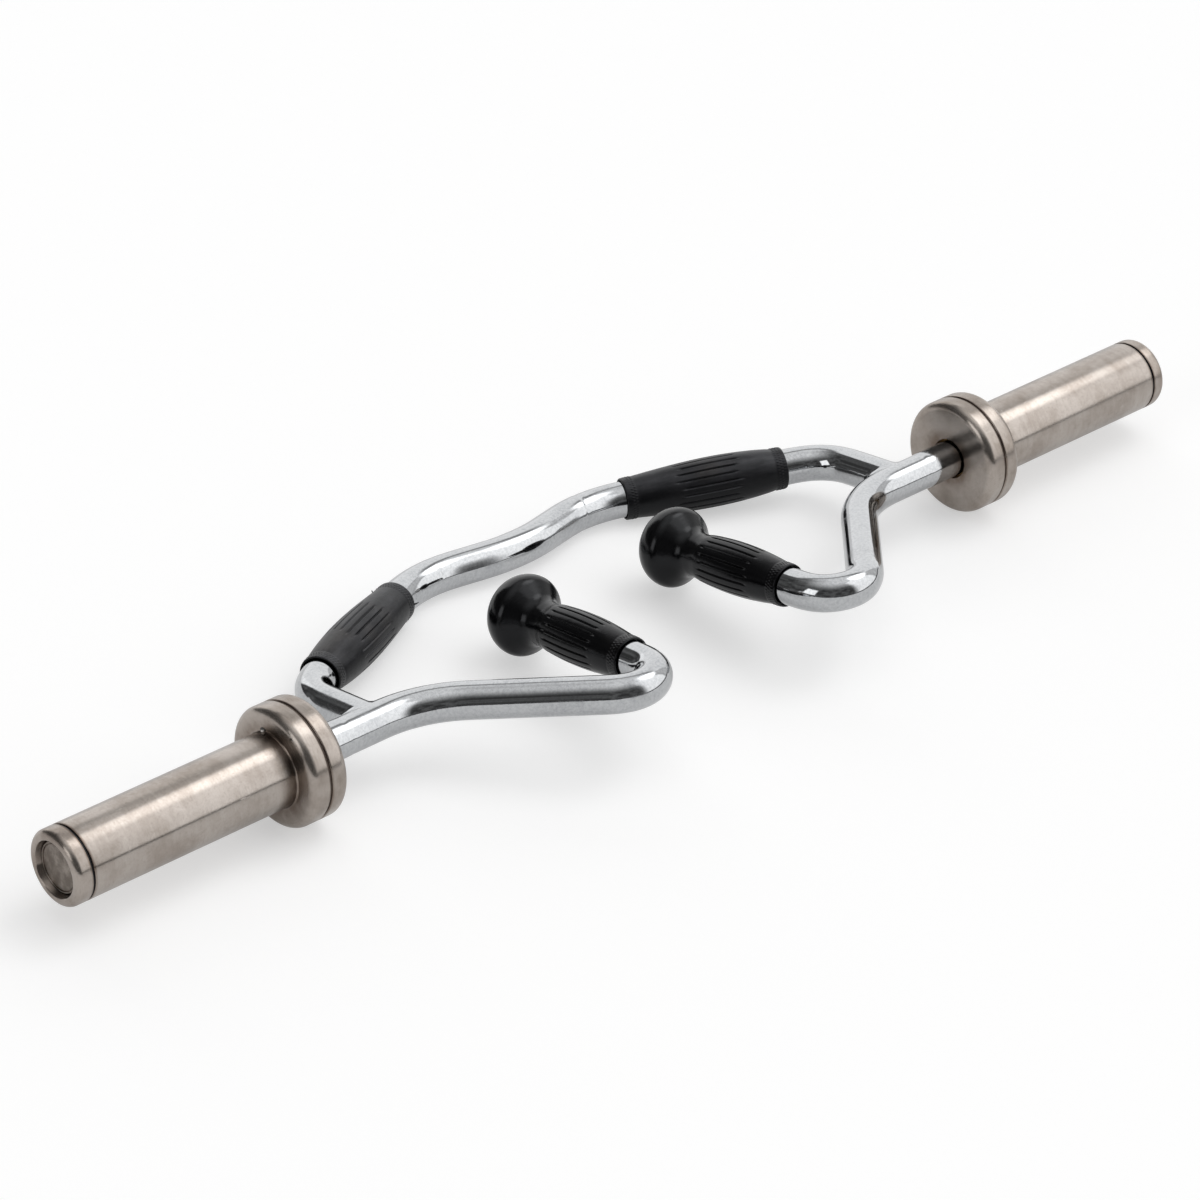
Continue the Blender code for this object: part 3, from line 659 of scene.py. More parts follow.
packing_ring = rounded_path(
    [(COLLAR_CENTRE, seat), (COLLAR_CENTRE - PACKING_WIDTH / 2, seat),
     (COLLAR_CENTRE - PACKING_WIDTH / 2, PACKING_RADIUS), (COLLAR_CENTRE + PACKING_WIDTH / 2, PACKING_RADIUS),
     (COLLAR_CENTRE + PACKING_WIDTH / 2, seat), (COLLAR_CENTRE + PACKING_WIDTH / 4, seat)],
    [0, EDGE, EDGE, 0], step=FINE_STEP)
for name, side in SIDES:
    body = name + "_sleeve_body"
    finished(turned(name + "_collar_outer_ring_skin", side, outer_ring, wrap=True), body, "satin_steel",
             collar_steel, name + "_collar_outer_ring")
    finished(turned(name + "_collar_inner_ring_skin", side, inner_ring, wrap=True), body, "satin_steel",
             collar_steel, name + "_collar_inner_ring")
    finished(turned(name + "_collar_packing_ring", side, packing_ring, wrap=True), body, "dark_steel",
             packing, name + "_collar_shim")


# Collar keys
# A small steel dowel, driven in along the seam between sleeve and collar so that neither turns in the other.
# Its bright rounded end stands in a dark oval at the foot of the sleeve, painted shade for the hole it sits
# in.

KEY_RADIUS = 0.0016
KEY_LENGTH = 0.0115
KEY_ANGLE = math.radians(70)
KEY_PROUD = 0.0014
KEY_FIT = 0.0001
KEY_ROUNDING = 0.6 * KEY_RADIUS
KEY_POLE = 0.0001
KEY_SIDES = 32
KEY_STEP = math.radians(10)
# The dark oval round the foot of the key is painted shade: a low dark dome where the hole lies in shade.
HOLE_SHADE_STEPS = 8
HOLE_SHADE_TURN = 0.0030
HOLE_SHADE_RISE = 0.0019
HOLE_SHADE_HEIGHT = 0.00035
HOLE_SHADE_BITE = 0.0004
HOLE_SHADE_OFFSET = 0.0008
HOLE_SHADE_BLACK = (0.012, 0.009, 0.008, 1)
HOLE_SHADE_BROWN = (0.045, 0.030, 0.022, 1)

key_end = collar_far + KEY_PROUD
key_profile = rounded_path(
    [(collar_far - KEY_LENGTH, KEY_RADIUS - KEY_FIT), (key_end, KEY_RADIUS - KEY_FIT), (key_end, KEY_POLE)],
    [KEY_ROUNDING], step=KEY_STEP)
key_steel = turned_steel("key_steel", (0.74, 0.71, 0.68, 1), (0.55, 0.51, 0.47, 1), 0.24,
                         corners=(), wear=0.4)
# A dark, rough material that paints the shade of the hole round the key.
painted_hole_shade, hole_shade_tree, hole_shade_shader = material_tree("painted_hole_shade")
hole_shade_cloud = noise(hole_shade_tree, add(hole_shade_tree, "TexCoord").outputs["Object"], 900, 4)
hole_shade_tree.links.new(mixed(hole_shade_tree, hole_shade_cloud, HOLE_SHADE_BLACK, HOLE_SHADE_BROWN), hole_shade_shader.inputs["Base Color"])
hole_shade_tree.links.new(ranged(hole_shade_tree, hole_shade_cloud, 0.3, 0.7, 0.25, 0.5), hole_shade_shader.inputs["Roughness"])
key_turn = np.linspace(0, 2 * math.pi, KEY_SIDES, endpoint=False)[None, :]
key_out = np.array((math.cos(KEY_ANGLE), math.sin(KEY_ANGLE)))
key_round = np.array((-key_out[1], key_out[0]))


def round_key(side, distance, out, turn):
    """World points at a distance from the bar's middle and two offsets from the key's own axis."""
    y = bar_axis[1] + (seat + out) * key_out[0] + turn * key_round[0]
    z = bar_axis[2] + (seat + out) * key_out[1] + turn * key_round[1]
    return np.stack(np.broadcast_arrays(side * distance, y, z), axis=-1)


rise = np.linspace(0, math.pi / 2, HOLE_SHADE_STEPS)[:-1, None]
for name, side in SIDES:
    distance, radius = key_profile[:, :1], key_profile[:, 1:]
    key_points = round_key(side, distance, radius * np.cos(key_turn), radius * np.sin(key_turn))
    key = shell(name + "_collar_key_pin", key_points, running(key_profile))
    finished(key, name + "_sleeve_body", "satin_steel", key_steel, name + "_collar_key")
    # The painted shade is a low dome, an oval that narrows as the cosine of its rise, round the foot of the
    # key.
    hole_shade_rows = np.vstack((np.full((1, 1), -HOLE_SHADE_BITE), HOLE_SHADE_HEIGHT * np.sin(rise)))
    hole_shade_size = np.vstack((np.ones((1, 1)), np.cos(rise)))
    hole_shade_out = HOLE_SHADE_OFFSET + HOLE_SHADE_RISE * hole_shade_size * np.cos(key_turn)
    hole_shade_points = round_key(side, collar_far + hole_shade_rows, hole_shade_out, HOLE_SHADE_TURN * hole_shade_size * np.sin(key_turn))
    hole_shade = shell(name + "_collar_key_hole_shade", hole_shade_points, running(np.hstack((hole_shade_rows, hole_shade_size * HOLE_SHADE_TURN))))
    finished(hole_shade, name + "_sleeve_body", "rubber", painted_hole_shade)


# End caps
# A turned steel cap closes each sleeve, with a rubber ring in the joint. Its rim is rounded over into a
# shallow recess, and a loose disc with a ringed edge lies on the floor of the recess.

SEAL_WIDTH = 0.0012
SEAL_RADIUS = 0.0243
SEAL_GAP = 0.0002
SEAL_SEAM = (0.0008, 0.0010)
CAP_LENGTH = 0.0110
CAP_ROUNDING = 0.0045
CAP_RECESS_RADIUS = 0.0170
CAP_RECESS_DEPTH = 0.0055
CAP_MOUTH_RADIUS = 0.0186
CAP_LIP = 0.0012
CAP_SPIGOT = 0.0060
CAP_SPIGOT_WALL = 0.0030
CAP_WEB = 0.0040
CAP_GAP = 0.0010
POLE = 0.0002
DISC_HEIGHT = 0.0016
DISC_DISH = 0.0005
DISC_GROOVE_DEPTH = 0.0009
DISC_GROOVE = (0.0018, 0.0016, 0.0014, 0.0013)
DISC_RIDGE = (0.0011, 0.0002)
DISC_RIDGE_EDGE = 0.0004

cap_near = SLEEVE_END + 2 * CLEARANCE + CAP_GAP
cap_far = cap_near + CAP_LENGTH
recess = cap_far - CAP_RECESS_DEPTH
spigot = SLEEVE_BORE - CLEARANCE
cap_profile = rounded_path(
    [(recess, POLE), (recess, CAP_RECESS_RADIUS), (cap_far, CAP_MOUTH_RADIUS), (cap_far, SLEEVE_RADIUS),
     (cap_near, SLEEVE_RADIUS), (cap_near, spigot), (cap_near - CAP_SPIGOT, spigot),
     (cap_near - CAP_SPIGOT, spigot - CAP_SPIGOT_WALL), (recess - CAP_WEB, spigot - CAP_SPIGOT_WALL),
     (recess - CAP_WEB, POLE)],
    [0, CAP_LIP, CAP_ROUNDING, EDGE, 0, 0, 0, 0], step=FINE_STEP)
disc_edge = CAP_RECESS_RADIUS - CLEARANCE
disc_top = recess + CLEARANCE + DISC_HEIGHT
disc_floor = recess + CLEARANCE
disc_dish = disc_top - DISC_DISH
disc_groove = disc_top - DISC_GROOVE_DEPTH
# From its middle outwards the disc is dished, and then has a groove and a rounded ridge near its edge.
disc_profile = rounded_path(
    [(disc_dish, POLE), (disc_dish, disc_edge - DISC_GROOVE[0]), (disc_groove, disc_edge - DISC_GROOVE[1]),
     (disc_groove, disc_edge - DISC_GROOVE[3]), (disc_top, disc_edge - DISC_RIDGE[0]),
     (disc_top, disc_edge - DISC_RIDGE[1]), (disc_floor, disc_edge), (disc_floor, POLE)],
    [0, 0, 0, DISC_RIDGE_EDGE, DISC_RIDGE_EDGE, 0], step=COARSE_STEP)
seal_bore = spigot + CLEARANCE
seal_near = SLEEVE_END + SEAL_GAP
seal_far = seal_near + SEAL_WIDTH
seal_profile = rounded_path(
    [(SLEEVE_END + SEAL_SEAM[0], seal_bore), (seal_near, seal_bore), (seal_near, SEAL_RADIUS),
     (seal_far, SEAL_RADIUS), (seal_far, seal_bore), (SLEEVE_END + SEAL_SEAM[1], seal_bore)],
    [0, EDGE, EDGE, 0], step=COARSE_STEP)


RUBBER_BLACK = (0.0026, 0.0026, 0.0031, 1)
RUBBER_TINT = (0.94, 0.96, 1.0, 1)
SMEARS_ALONG = 34.0
SMEARS_ROUND = 2.4


def moulded_rubber(name, roughness, gloss, dust_and_sheen_level):
    """Black moulded rubber: finely grained, lighter where its surface looks upwards, as dust and painted
    sheen.

    The dust and painted sheen lie in smears along the piece: noise on (run, cos, sin of the turn round it),
    which has no seam.
    """
    material, tree, shader = material_tree(name)
    place = add(tree, "TexCoord").outputs["Object"]
    cloud = noise(tree, place, 60, 5, 0.62)
    grain = noise(tree, place, 2600, 2, 0.6)
    upward = add(tree, "SeparateXYZ", {"Vector": add(tree, "NewGeometry").outputs["Normal"]}).outputs["Z"]
    skin = add(tree, "SeparateXYZ", {"Vector": add(tree, "UVMap", uv_map="skin").outputs["UV"]}).outputs
    turn = times(tree, skin["Y"], 2 * math.pi)
    round_y = add(tree, "Math", {0: turn}, operation="COSINE").outputs[0]
    round_z = add(tree, "Math", {0: turn}, operation="SINE").outputs[0]
    smear_place = add(tree, "CombineXYZ", {"X": times(tree, skin["X"], SMEARS_ALONG),
                                           "Y": times(tree, round_y, SMEARS_ROUND),
                                           "Z": times(tree, round_z, SMEARS_ROUND)}).outputs[0]
    smears = ranged(tree, noise(tree, smear_place, 1.0, 5, 0.62), 0.30, 0.68, 0.30, 1.0)
    # Painted sheen, partly dust: faces that look upwards are lightened, in smears and clouds.
    dust_and_sheen = times(tree, times(tree, ranged(tree, upward, 0.15, 0.95), smears),
                 ranged(tree, cloud, 0.25, 0.70, 0.45, 1.0))
    cool = (dust_and_sheen_level, dust_and_sheen_level, dust_and_sheen_level * 1.10, 1)
    warm = (dust_and_sheen_level * 1.12, dust_and_sheen_level * 1.03, dust_and_sheen_level, 1)
    tint = mixed(tree, ranged(tree, noise(tree, place, 24, 3), 0.52, 0.66), cool, warm)
    colour = mixed(tree, dust_and_sheen, RUBBER_BLACK, tint)
    tree.links.new(colour, shader.inputs["Base Color"])
    rough = add(tree, "Math", {0: times(tree, cloud, 0.20), 1: roughness - 0.10}, operation="ADD").outputs[0]
    tree.links.new(rough, shader.inputs["Roughness"])
    shader.inputs["Specular IOR Level"].default_value = gloss
    shader.inputs["Specular Tint"].default_value = RUBBER_TINT
    fine_bump = add(tree, "Bump", {"Height": grain, "Strength": 1.0, "Distance": 0.00002})
    soft_bump = add(tree, "Bump", {"Height": cloud, "Strength": 1.0, "Distance": 0.0003,
                                   "Normal": fine_bump.outputs["Normal"]})
    tree.links.new(soft_bump.outputs["Normal"], shader.inputs["Normal"])
    return material


cap_steel = turned_steel("cap_steel", (0.445, 0.398, 0.360, 1), (0.275, 0.230, 0.197, 1), 0.25,
                         corners=((recess + 0.0004, CAP_RECESS_RADIUS, 0.0014),
                                  (cap_near, SLEEVE_RADIUS, 0.0016)))
disc_steel = turned_steel("disc_steel", (0.345, 0.305, 0.270, 1), (0.155, 0.130, 0.110, 1), 0.33, wear=1.15,
                          blotches=120, corners=((disc_groove, disc_edge - DISC_GROOVE[2], 0.0007),))
seal_rubber = moulded_rubber("seal_rubber", 0.32, 0.25, 0.010)
for name, side in SIDES:
    body = name + "_sleeve_body"
    finished(turned(name + "_cap_seal_ring", side, seal_profile, wrap=True), body, "rubber", seal_rubber,
             name + "_cap_seal")
    finished(turned(name + "_end_cap_skin", side, cap_profile), body, "satin_steel", cap_steel,
             name + "_end_cap")
    finished(turned(name + "_cap_disc_skin", side, disc_profile), body, "satin_steel", disc_steel,
             name + "_cap_disc")


# Curl grips
# Rubber barrels moulded and pushed on the curl bar, fattest near the middle. Narrow flutes with uneven ends
# run along the belly, and a studded band goes round each open end.

GRIP_BORE = TUBE_RADIUS + CLEARANCE
GRIP_BELLY_RADIUS = 0.0175
GRIP_BAND = 0.0085
GRIP_SIDES = 360
GRIP_STEP = 0.0006
GRIP_FIRST_ROW = 0.0026
GRIP_MOUTH = 0.0025

grip_angles = np.linspace(0, 2 * math.pi, GRIP_SIDES, endpoint=False)[None, :]


def smooth_step(value, low, high):
    """0 below low, 1 above high and 3t^2 - 2t^3 between them."""
    t = np.clip((value - low) / (high - low), 0, 1)
    return t * t * (3 - 2 * t)


FLUTES = 20
FLUTE_WIDTH = 0.0011
FLUTE_DEPTH = 0.0009
FLUTE_END = 0.0060
CURL_FLUTES = (0.0325, 0.0805)
CURL_FLUTE_STAGGER = 0.0042


def fluted(s, radius, start, end, uneven):
    """The depth of the flutes at distance s along a grip of that radius.

    Each flute is a groove with rounded edges, FLUTE_DEPTH * cos(pi / 2 * d / FLUTE_WIDTH)^2 deep at a
    distance d from its middle line. It runs out smoothly at its ends, which lie unevenly round the grip.
    """
    spacing = 2 * math.pi / FLUTES
    number = np.round(grip_angles / spacing)
    off = (grip_angles - number * spacing) * radius
    groove = np.cos(math.pi / 2 * np.clip(off / FLUTE_WIDTH, -1, 1)) ** 2
    stagger = uneven * (0.7 * np.sin(1.9 * number) + 0.3 * np.sin(4.3 * number))
    fade = smooth_step(s, start + stagger, start + stagger + FLUTE_END)
    fade = fade * (1 - smooth_step(s, end - FLUTE_END + stagger, end + stagger))
    return FLUTE_DEPTH * groove * fade


BAND_STUDS = 45
BAND_ROWS = 3
BAND_DEPTH = 0.00035
BAND_START = 0.0012
BAND_MARGIN = 0.0008
BAND_FADE = 0.0008


def banded(s, start, end):
    """Studs of a moulded end band: BAND_DEPTH times a wave round the grip and one along it, where positive.

    BAND_STUDS waves go round and BAND_ROWS half waves along, and they fade at the band's two edges.
    """
    along = np.sin(math.pi * BAND_ROWS * (s - start) / (end - start))
    wave = np.maximum(0, np.sin(BAND_STUDS * grip_angles) * along)
    fade = smooth_step(s, start, start + BAND_FADE) * (1 - smooth_step(s, end - BAND_FADE, end))
    return BAND_DEPTH * wave * fade


def on_tube(corner, towards, distance, side, s, radius):
    """World points of rows at distances s along a straight tube and a radius at each angle round it."""
    direction = unit(np.subtract(towards, corner))
    start = np.array(corner) + direction * distance
    across = np.array((direction[1], -direction[0]))
    out = radius * np.cos(grip_angles)
    x = side * (start[0] + direction[0] * s + across[0] * out)
    v = start[1] + direction[1] * s + across[1] * out
    return placed(x, v, radius * np.sin(grip_angles))


def swell(t, skew=0.83, power=0.95):
    """A grip's swelling, 0 at both ends and 1 at the belly: the sine of pi t^skew, raised to a power."""
    return np.sin(math.pi * np.clip(t, 0, 1) ** skew) ** power


LIP = 0.0008
LIP_DEPTH = 0.0030
LIP_SLACK = 0.0006


def grip_lip(s_end, inward):
    """Rows that turn round a grip's open end and run a little way into its bore, with a rounded mouth."""
    mouth = rounded_path([(s_end - inward * GRIP_MOUTH, GRIP_END_RADIUS), (s_end, GRIP_END_RADIUS),
                          (s_end, GRIP_BORE + LIP_SLACK), (s_end - inward * LIP_DEPTH, GRIP_BORE)],
                         [LIP, 0], step=COARSE_STEP)
    return mouth[1:]


s = np.arange(GRIP_FIRST_ROW, GRIP_LENGTH - GRIP_MOUTH, GRIP_STEP)[:, None]
swelling = swell((s - GRIP_BAND) / (GRIP_LENGTH - 2 * GRIP_BAND))
body_radius = GRIP_END_RADIUS + (GRIP_BELLY_RADIUS - GRIP_END_RADIUS) * swelling
body_radius = (body_radius - fluted(s, GRIP_BELLY_RADIUS, *CURL_FLUTES, CURL_FLUTE_STAGGER)
               + banded(s, BAND_START, GRIP_BAND - BAND_MARGIN)
               + banded(s, GRIP_LENGTH - GRIP_BAND + BAND_MARGIN, GRIP_LENGTH - BAND_START))
near_lip = grip_lip(0.0, -1)[::-1]
far_lip = grip_lip(GRIP_LENGTH, 1)
grip_s = np.vstack((near_lip[:, :1], s, far_lip[:, :1]))
grip_radius = np.vstack((np.broadcast_to(near_lip[:, 1:], (len(near_lip), GRIP_SIDES)), body_radius,
                         np.broadcast_to(far_lip[:, 1:], (len(far_lip), GRIP_SIDES))))
curl_rubber = moulded_rubber("curl_rubber", 0.35, 0.24, 0.052)
for name, side in SIDES:
    points = on_tube(CURL_SHOULDER, CURL_CREST, GRIP_STARTS[name], side, grip_s, grip_radius)
    rows = running(np.column_stack((grip_s[:, 0], grip_radius[:, 0])))
    grip = shell(name + "_curl_grip_rubber", points, rows, wrap=True)
    finished(grip, "frame", "rubber", curl_rubber, name + "_curl_grip")

# Two whiskers of flash, where the mould closed, still stand on the mouth of the left grip. Each is a thin
# round tube along a bent line of (distance, radius) points at one turn round the grip, narrower at its tip.
WHISKER = 0.00055
WHISKER_TAPER = (1.3, 0.35)
WHISKER_SIDES = 12
WHISKER_STEP = 0.0003
WHISKERS = (
    (math.radians(24), ((0.1136, 0.0142), (0.1140, 0.0158), (0.1146, 0.0168), (0.1158, 0.0173))),
    (math.radians(180), ((0.1150, 0.0140), (0.1164, 0.0150), (0.1177, 0.0157), (0.1190, 0.0158))))

whisker_start = np.array(CURL_SHOULDER) + grip_run * GRIP_STARTS["left"]
for letter, (turn, line) in zip("ab", WHISKERS):
    line = evenly(np.array(line), WHISKER_STEP)
    tangent = unit(np.gradient(line, axis=0))
    thick = WHISKER * np.linspace(*WHISKER_TAPER, len(line))[:, None]
    t = np.linspace(0, 2 * math.pi, WHISKER_SIDES, endpoint=False)[None, :]
    s_whisker = line[:, :1] - thick * np.cos(t) * tangent[:, 1:]
    r_whisker = line[:, 1:] + thick * np.cos(t) * tangent[:, :1]
    angle = turn + thick * np.sin(t) / r_whisker
    out = r_whisker * np.cos(angle)
    x = -(whisker_start[0] + grip_run[0] * s_whisker + grip_run[1] * out)
    v = whisker_start[1] + grip_run[1] * s_whisker - grip_run[0] * out
    flash = placed(x, v, r_whisker * np.sin(angle))
    whisker = shell("left_curl_grip_flash_" + letter, flash, running(line))
    finished(whisker, "frame", "rubber", seal_rubber)


# Handle grips
# The same barrel on each turned-back handle, but closed at its top by a rubber pommel that stops the hand.
# The barrel narrows to a waist and flares into the pommel in one moulding.

HANDLE_GRIP_LENGTH = 0.1260
HANDLE_BELLY_RADIUS = 0.0173
HANDLE_FLUTES = (0.0225, 0.0715)
HANDLE_FLUTE_STAGGER = 0.0022
WAIST = 0.0806
WAIST_RADIUS = 0.0151
WAIST_EASE = (0.0010, -0.0090)
POMMEL_RADIUS = 0.0274
POMMEL_RIM = 0.1046
FLARE_FOOT = 0.0885
FLARE_TOP = 0.1002
FLARE_BENDS = (0.0120, 0.0092)
FLARE_STEP = math.radians(2.5)
DOME_STEPS = 60

s = np.arange(GRIP_FIRST_ROW, WAIST, GRIP_STEP)[:, None]
# The swelling fades evenly into the waist, and the plain barrel widens from its end's radius to the waist's.
swelling = swell((s - GRIP_BAND) / (WAIST - GRIP_BAND), skew=0.95, power=0.85)
swelling = swelling * smooth_step(s, WAIST + WAIST_EASE[0], WAIST + WAIST_EASE[1])
widening = (WAIST_RADIUS - GRIP_END_RADIUS) * smooth_step(s, GRIP_BAND, WAIST)
barrel = GRIP_END_RADIUS + widening + (HANDLE_BELLY_RADIUS - GRIP_END_RADIUS) * swelling
barrel = barrel - fluted(s, GRIP_BELLY_RADIUS, *HANDLE_FLUTES, HANDLE_FLUTE_STAGGER)
barrel = barrel + banded(s, BAND_START, GRIP_BAND - BAND_MARGIN)

flare = rounded_path([(WAIST, WAIST_RADIUS), (FLARE_FOOT, WAIST_RADIUS), (FLARE_TOP, POMMEL_RADIUS),
                      (POMMEL_RIM, POMMEL_RADIUS)], FLARE_BENDS, step=FLARE_STEP)
flare = evenly(flare, GRIP_STEP)[1:]
half = np.linspace(0, math.pi / 2, DOME_STEPS)[1:-1, None]
dome_s = POMMEL_RIM + (HANDLE_GRIP_LENGTH - POMMEL_RIM) * np.sin(half)
dome_radius = POMMEL_RADIUS * np.cos(half)
lip = grip_lip(0.0, -1)[::-1]
plain = np.vstack((flare, np.column_stack((dome_s, dome_radius))))
handle_s = np.vstack((lip[:, :1], s, plain[:, :1]))
handle_radius = np.vstack((np.broadcast_to(lip[:, 1:], (len(lip), GRIP_SIDES)), barrel,
                           np.broadcast_to(plain[:, 1:], (len(plain), GRIP_SIDES))))
handle_rubber = moulded_rubber("handle_rubber", 0.17, 0.28, 0.004)
for name, side in SIDES:
    points = on_tube(HANDLE_ELBOW, HANDLE_TIP, HANDLE_GRIP_START, side, handle_s, handle_radius)
    rows = running(np.column_stack((handle_s[:, 0], handle_radius[:, 0])))
    grip = shell(name + "_handle_grip_rubber", points, rows)
    finished(grip, "frame", "rubber", handle_rubber, name + "_handle_grip")


# Inner parts
# Bushes, washers, bolts and tube plugs lie out of sight inside the sleeves and grips. They keep the packed
# shapes and take the finish of cast bronze, oiled steel or plastic.


def inner_finish(name, light, dark, metallic, roughness):
    """A plain working finish with faint mottling and tool marks."""
    material, tree, shader = material_tree(name)
    place = add(tree, "TexCoord").outputs["Object"]
    mottle = noise(tree, place, 300, 4)
    tree.links.new(mixed(tree, mottle, light, dark), shader.inputs["Base Color"])
    shader.inputs["Metallic"].default_value = metallic
    rough = add(tree, "Math", {0: times(tree, mottle, 0.2), 1: roughness - 0.1}, operation="ADD").outputs[0]
    tree.links.new(rough, shader.inputs["Roughness"])
    bump = add(tree, "Bump", {"Height": mottle, "Strength": 1.0, "Distance": 0.00005})
    tree.links.new(bump.outputs["Normal"], shader.inputs["Normal"])
    return material


bronze = inner_finish("cast_bronze", (0.66, 0.44, 0.20, 1), (0.50, 0.32, 0.15, 1), 1.0, 0.38)
oiled_steel = inner_finish("oiled_steel", (0.34, 0.33, 0.32, 1), (0.22, 0.21, 0.20, 1), 1.0, 0.42)
plug_plastic = inner_finish("plug_plastic", (0.05, 0.05, 0.05, 1), (0.03, 0.03, 0.03, 1), 0.0, 0.5)
inner_finishes = {"collar_bush": bronze, "thrust_washer": bronze, "end_bush": bronze,
                  "end_washer": oiled_steel, "end_bolt": oiled_steel, "handle_plug": plug_plastic}
for name, side in SIDES:
    for part, finish in inner_finishes.items():
        node_mesh = frame["nodes"][name + "_" + part].data
        node_mesh.materials.clear()
        node_mesh.materials.append(finish)


# Studio
# A pale floor under soft light: a large white panel in front on the right, a greyer one behind it, a narrow
# one far back on the left, dark walls between them and a soft glow overhead. The camera sees white beyond.

FLOOR_HALF = 6.0
FLOOR_CORNERS = ((-1, -1), (1, -1), (1, 1), (-1, 1))
FLOOR_COLOUR = (0.625, 0.625, 0.625, 1)
FLOOR_GLOW = 0.48
MIRRORED_GLOW = 0.65

floor_mesh = bpy.data.meshes.new("floor")
floor_mesh.from_pydata([(FLOOR_HALF * x, FLOOR_HALF * y, 0) for x, y in FLOOR_CORNERS], [], [(0, 1, 2, 3)])
floor = bpy.data.objects.new("floor", floor_mesh)
bpy.context.scene.collection.objects.link(floor)
floor_material, floor_tree, floor_shader = material_tree("floor")
floor_shader.inputs["Base Color"].default_value = FLOOR_COLOUR
floor_shader.inputs["Roughness"].default_value = 0.9
floor_shader.inputs["Specular IOR Level"].default_value = 0.0
floor_shader.inputs["Emission Color"].default_value = (1, 1, 1, 1)
rays = add(floor_tree, "LightPath").outputs
mirrored_ray = add(floor_tree, "Math", {0: rays["Is Glossy Ray"], 1: rays["Is Transmission Ray"]},
                   operation="MAXIMUM").outputs[0]
seen = add(floor_tree, "Math", {0: rays["Is Camera Ray"], 1: times(floor_tree, mirrored_ray, MIRRORED_GLOW)},
           operation="MAXIMUM").outputs[0]
floor_tree.links.new(times(floor_tree, seen, FLOOR_GLOW), floor_shader.inputs["Emission Strength"])
floor_mesh.materials.append(floor_material)

# The fields of light round the object. A span is (low, high) or (low, high, softness) in degrees, round the
# horizon or, for a height, over it, and a FIELD is one span of each. The key light is a round spot that fades
# in from its outer to its inner edge, in degrees off its own direction.
CLUTTER_GREYS = (0.05, 0.14)
CEILING_HEIGHT = (38, 92)
UPPER_SPAN = (-75, 80, 15)
UPPER_HEIGHT = (46, 57)
FRONT_LEFT_EDGE = (-83, -63)
FRONT_RIGHT_EDGE = (-16, -9)
FRONT_HEIGHT = (3.6, 69, 0.8)
FRONT_SHADING = (14, 52)
GAP_FIELD = ((-12, 7, 4), (3.6, 49, 0.8))
BACK_FIELD = ((7, 87.5, 2.5), (-4, 44, 5))
BACK_END_FIELD = ((76, 87.5, 2.5), (4, 26, 3))
STRIP_FIELD = ((-14, 13, 2), (8, 35, 2))
KEY_DIRECTION = (0.560, -0.040, 0.828)
KEY_EDGES = (18, 6)
CEILING_GREY = 1.10
UPPER_GREY = 1.02
FRONT_GREYS = (1.43, 1.60)
GAP_GREY = 0.75
BACK_GREY = 1.18
BACK_END_GREY = 1.44
STRIP_GREY = 1.72
KEY_GREY = 3.3

world = bpy.data.worlds.new("studio")
bpy.context.scene.world = world
world.use_nodes = True
sky = world.node_tree
direction = add(sky, "TexCoord").outputs["Generated"]
way = add(sky, "SeparateXYZ", {"Vector": direction}).outputs


def degrees(value):
    """An angle carried from radians to degrees."""
    return add(sky, "Math", {0: value}, operation="DEGREES").outputs[0]


def between(value, low, high, soft):
    """1 where a value lies between two bounds and 0 outside them, with soft edges."""
    above = ranged(sky, value, low - soft, low + soft)
    return times(sky, above, ranged(sky, value, high - soft, high + soft, 1, 0))


def grey(level):
    """A plain grey, where white is 1."""
    return (level, level, level, 1)


# Directions are read as degrees round from +X (and, for the strip, from -X) and degrees over the horizon.
around = degrees(add(sky, "Math", {0: way["Y"], 1: way["X"]}, operation="ARCTAN2").outputs[0])
from_left = degrees(add(sky, "Math", {0: times(sky, way["Y"], -1), 1: times(sky, way["X"], -1)},
                        operation="ARCTAN2").outputs[0])
height = degrees(add(sky, "Math", {0: way["Z"]}, operation="ARCSINE").outputs[0])


def panel(turn, span, rise):
    """An upright panel, from its span of turn round the object and its span of height over the horizon."""
    return times(sky, between(turn, *span), between(height, *rise))


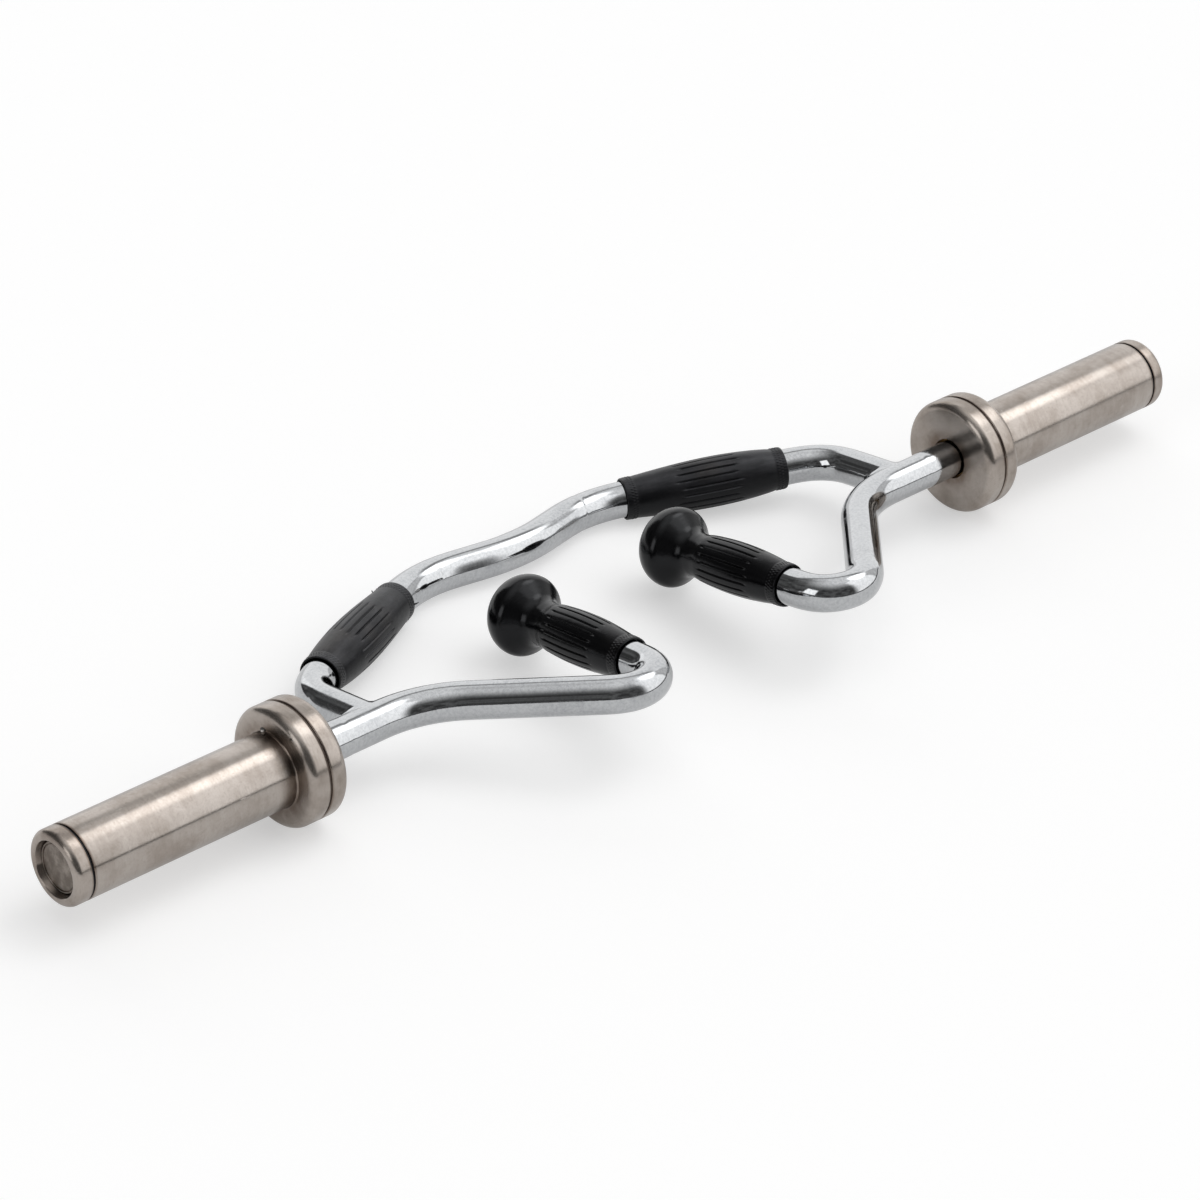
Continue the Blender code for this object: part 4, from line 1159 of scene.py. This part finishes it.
# Dark, cluttered walls run up into a soft ceiling. On them lie, each over the last, a pale field overhead,
# the front panel, the dim gap beside it, the back panel and its brighter end, the strip and the key light.
clutter = ranged(sky, noise(sky, direction, 4.5, 3), 0.35, 0.65, *CLUTTER_GREYS)
dark_wall = add(sky, "CombineColor", {0: clutter, 1: clutter, 2: clutter}).outputs[0]
walls = mixed(sky, ranged(sky, height, *CEILING_HEIGHT), dark_wall, grey(CEILING_GREY))
upper = times(sky, between(around, *UPPER_SPAN), ranged(sky, height, *UPPER_HEIGHT))
front_sides = times(sky, ranged(sky, around, *FRONT_LEFT_EDGE), ranged(sky, around, *FRONT_RIGHT_EDGE, 1, 0))
front = times(sky, front_sides, between(height, *FRONT_HEIGHT))
front_grey = mixed(sky, ranged(sky, height, *FRONT_SHADING), *(grey(level) for level in FRONT_GREYS))
toward_key = add(sky, "VectorMath", {0: direction, 1: KEY_DIRECTION}, operation="DOT_PRODUCT").outputs
key_light = ranged(sky, toward_key["Value"], *(math.cos(math.radians(edge)) for edge in KEY_EDGES))
studio = walls
for field, colour in ((upper, grey(UPPER_GREY)), (front, front_grey),
                      (panel(around, *GAP_FIELD), grey(GAP_GREY)),
                      (panel(around, *BACK_FIELD), grey(BACK_GREY)),
                      (panel(around, *BACK_END_FIELD), grey(BACK_END_GREY)),
                      (panel(from_left, *STRIP_FIELD), grey(STRIP_GREY)), (key_light, grey(KEY_GREY))):
    studio = mixed(sky, field, studio, colour)
background = sky.nodes["Background"]
seen_by_camera = add(sky, "LightPath").outputs["Is Camera Ray"]
sky.links.new(mixed(sky, seen_by_camera, studio, grey(1.0)), background.inputs["Color"])


# Camera
# The photograph's viewpoint: from the left front, about 33 degrees above the floor and 3.1 m from the bar.
# The lens is a long one, and its focal length is given in pixels of the photograph.

CAMERA_PLACE = (-1.82461, -1.82928, 1.68959)
CAMERA_RIGHT = (0.73449, -0.67662, 0.05201)
CAMERA_UP = (0.33500, 0.42817, 0.83931)
FOCAL_PIXELS = 4685.93
IMAGE_SIZE = 1200
SENSOR = 36.0

camera_data = bpy.data.cameras.new("camera")
camera_data.sensor_width = SENSOR
camera_data.lens = SENSOR * FOCAL_PIXELS / IMAGE_SIZE
camera = bpy.data.objects.new("camera", camera_data)
camera_back = np.cross(CAMERA_RIGHT, CAMERA_UP)
camera.matrix_world = Matrix([(*row, place) for row, place in
                              zip(np.column_stack((CAMERA_RIGHT, CAMERA_UP, camera_back)), CAMERA_PLACE)]
                             + [(0, 0, 0, 1)])
bpy.context.scene.collection.objects.link(camera)
bpy.context.scene.camera = camera
bpy.context.scene.view_settings.view_transform = "Standard"
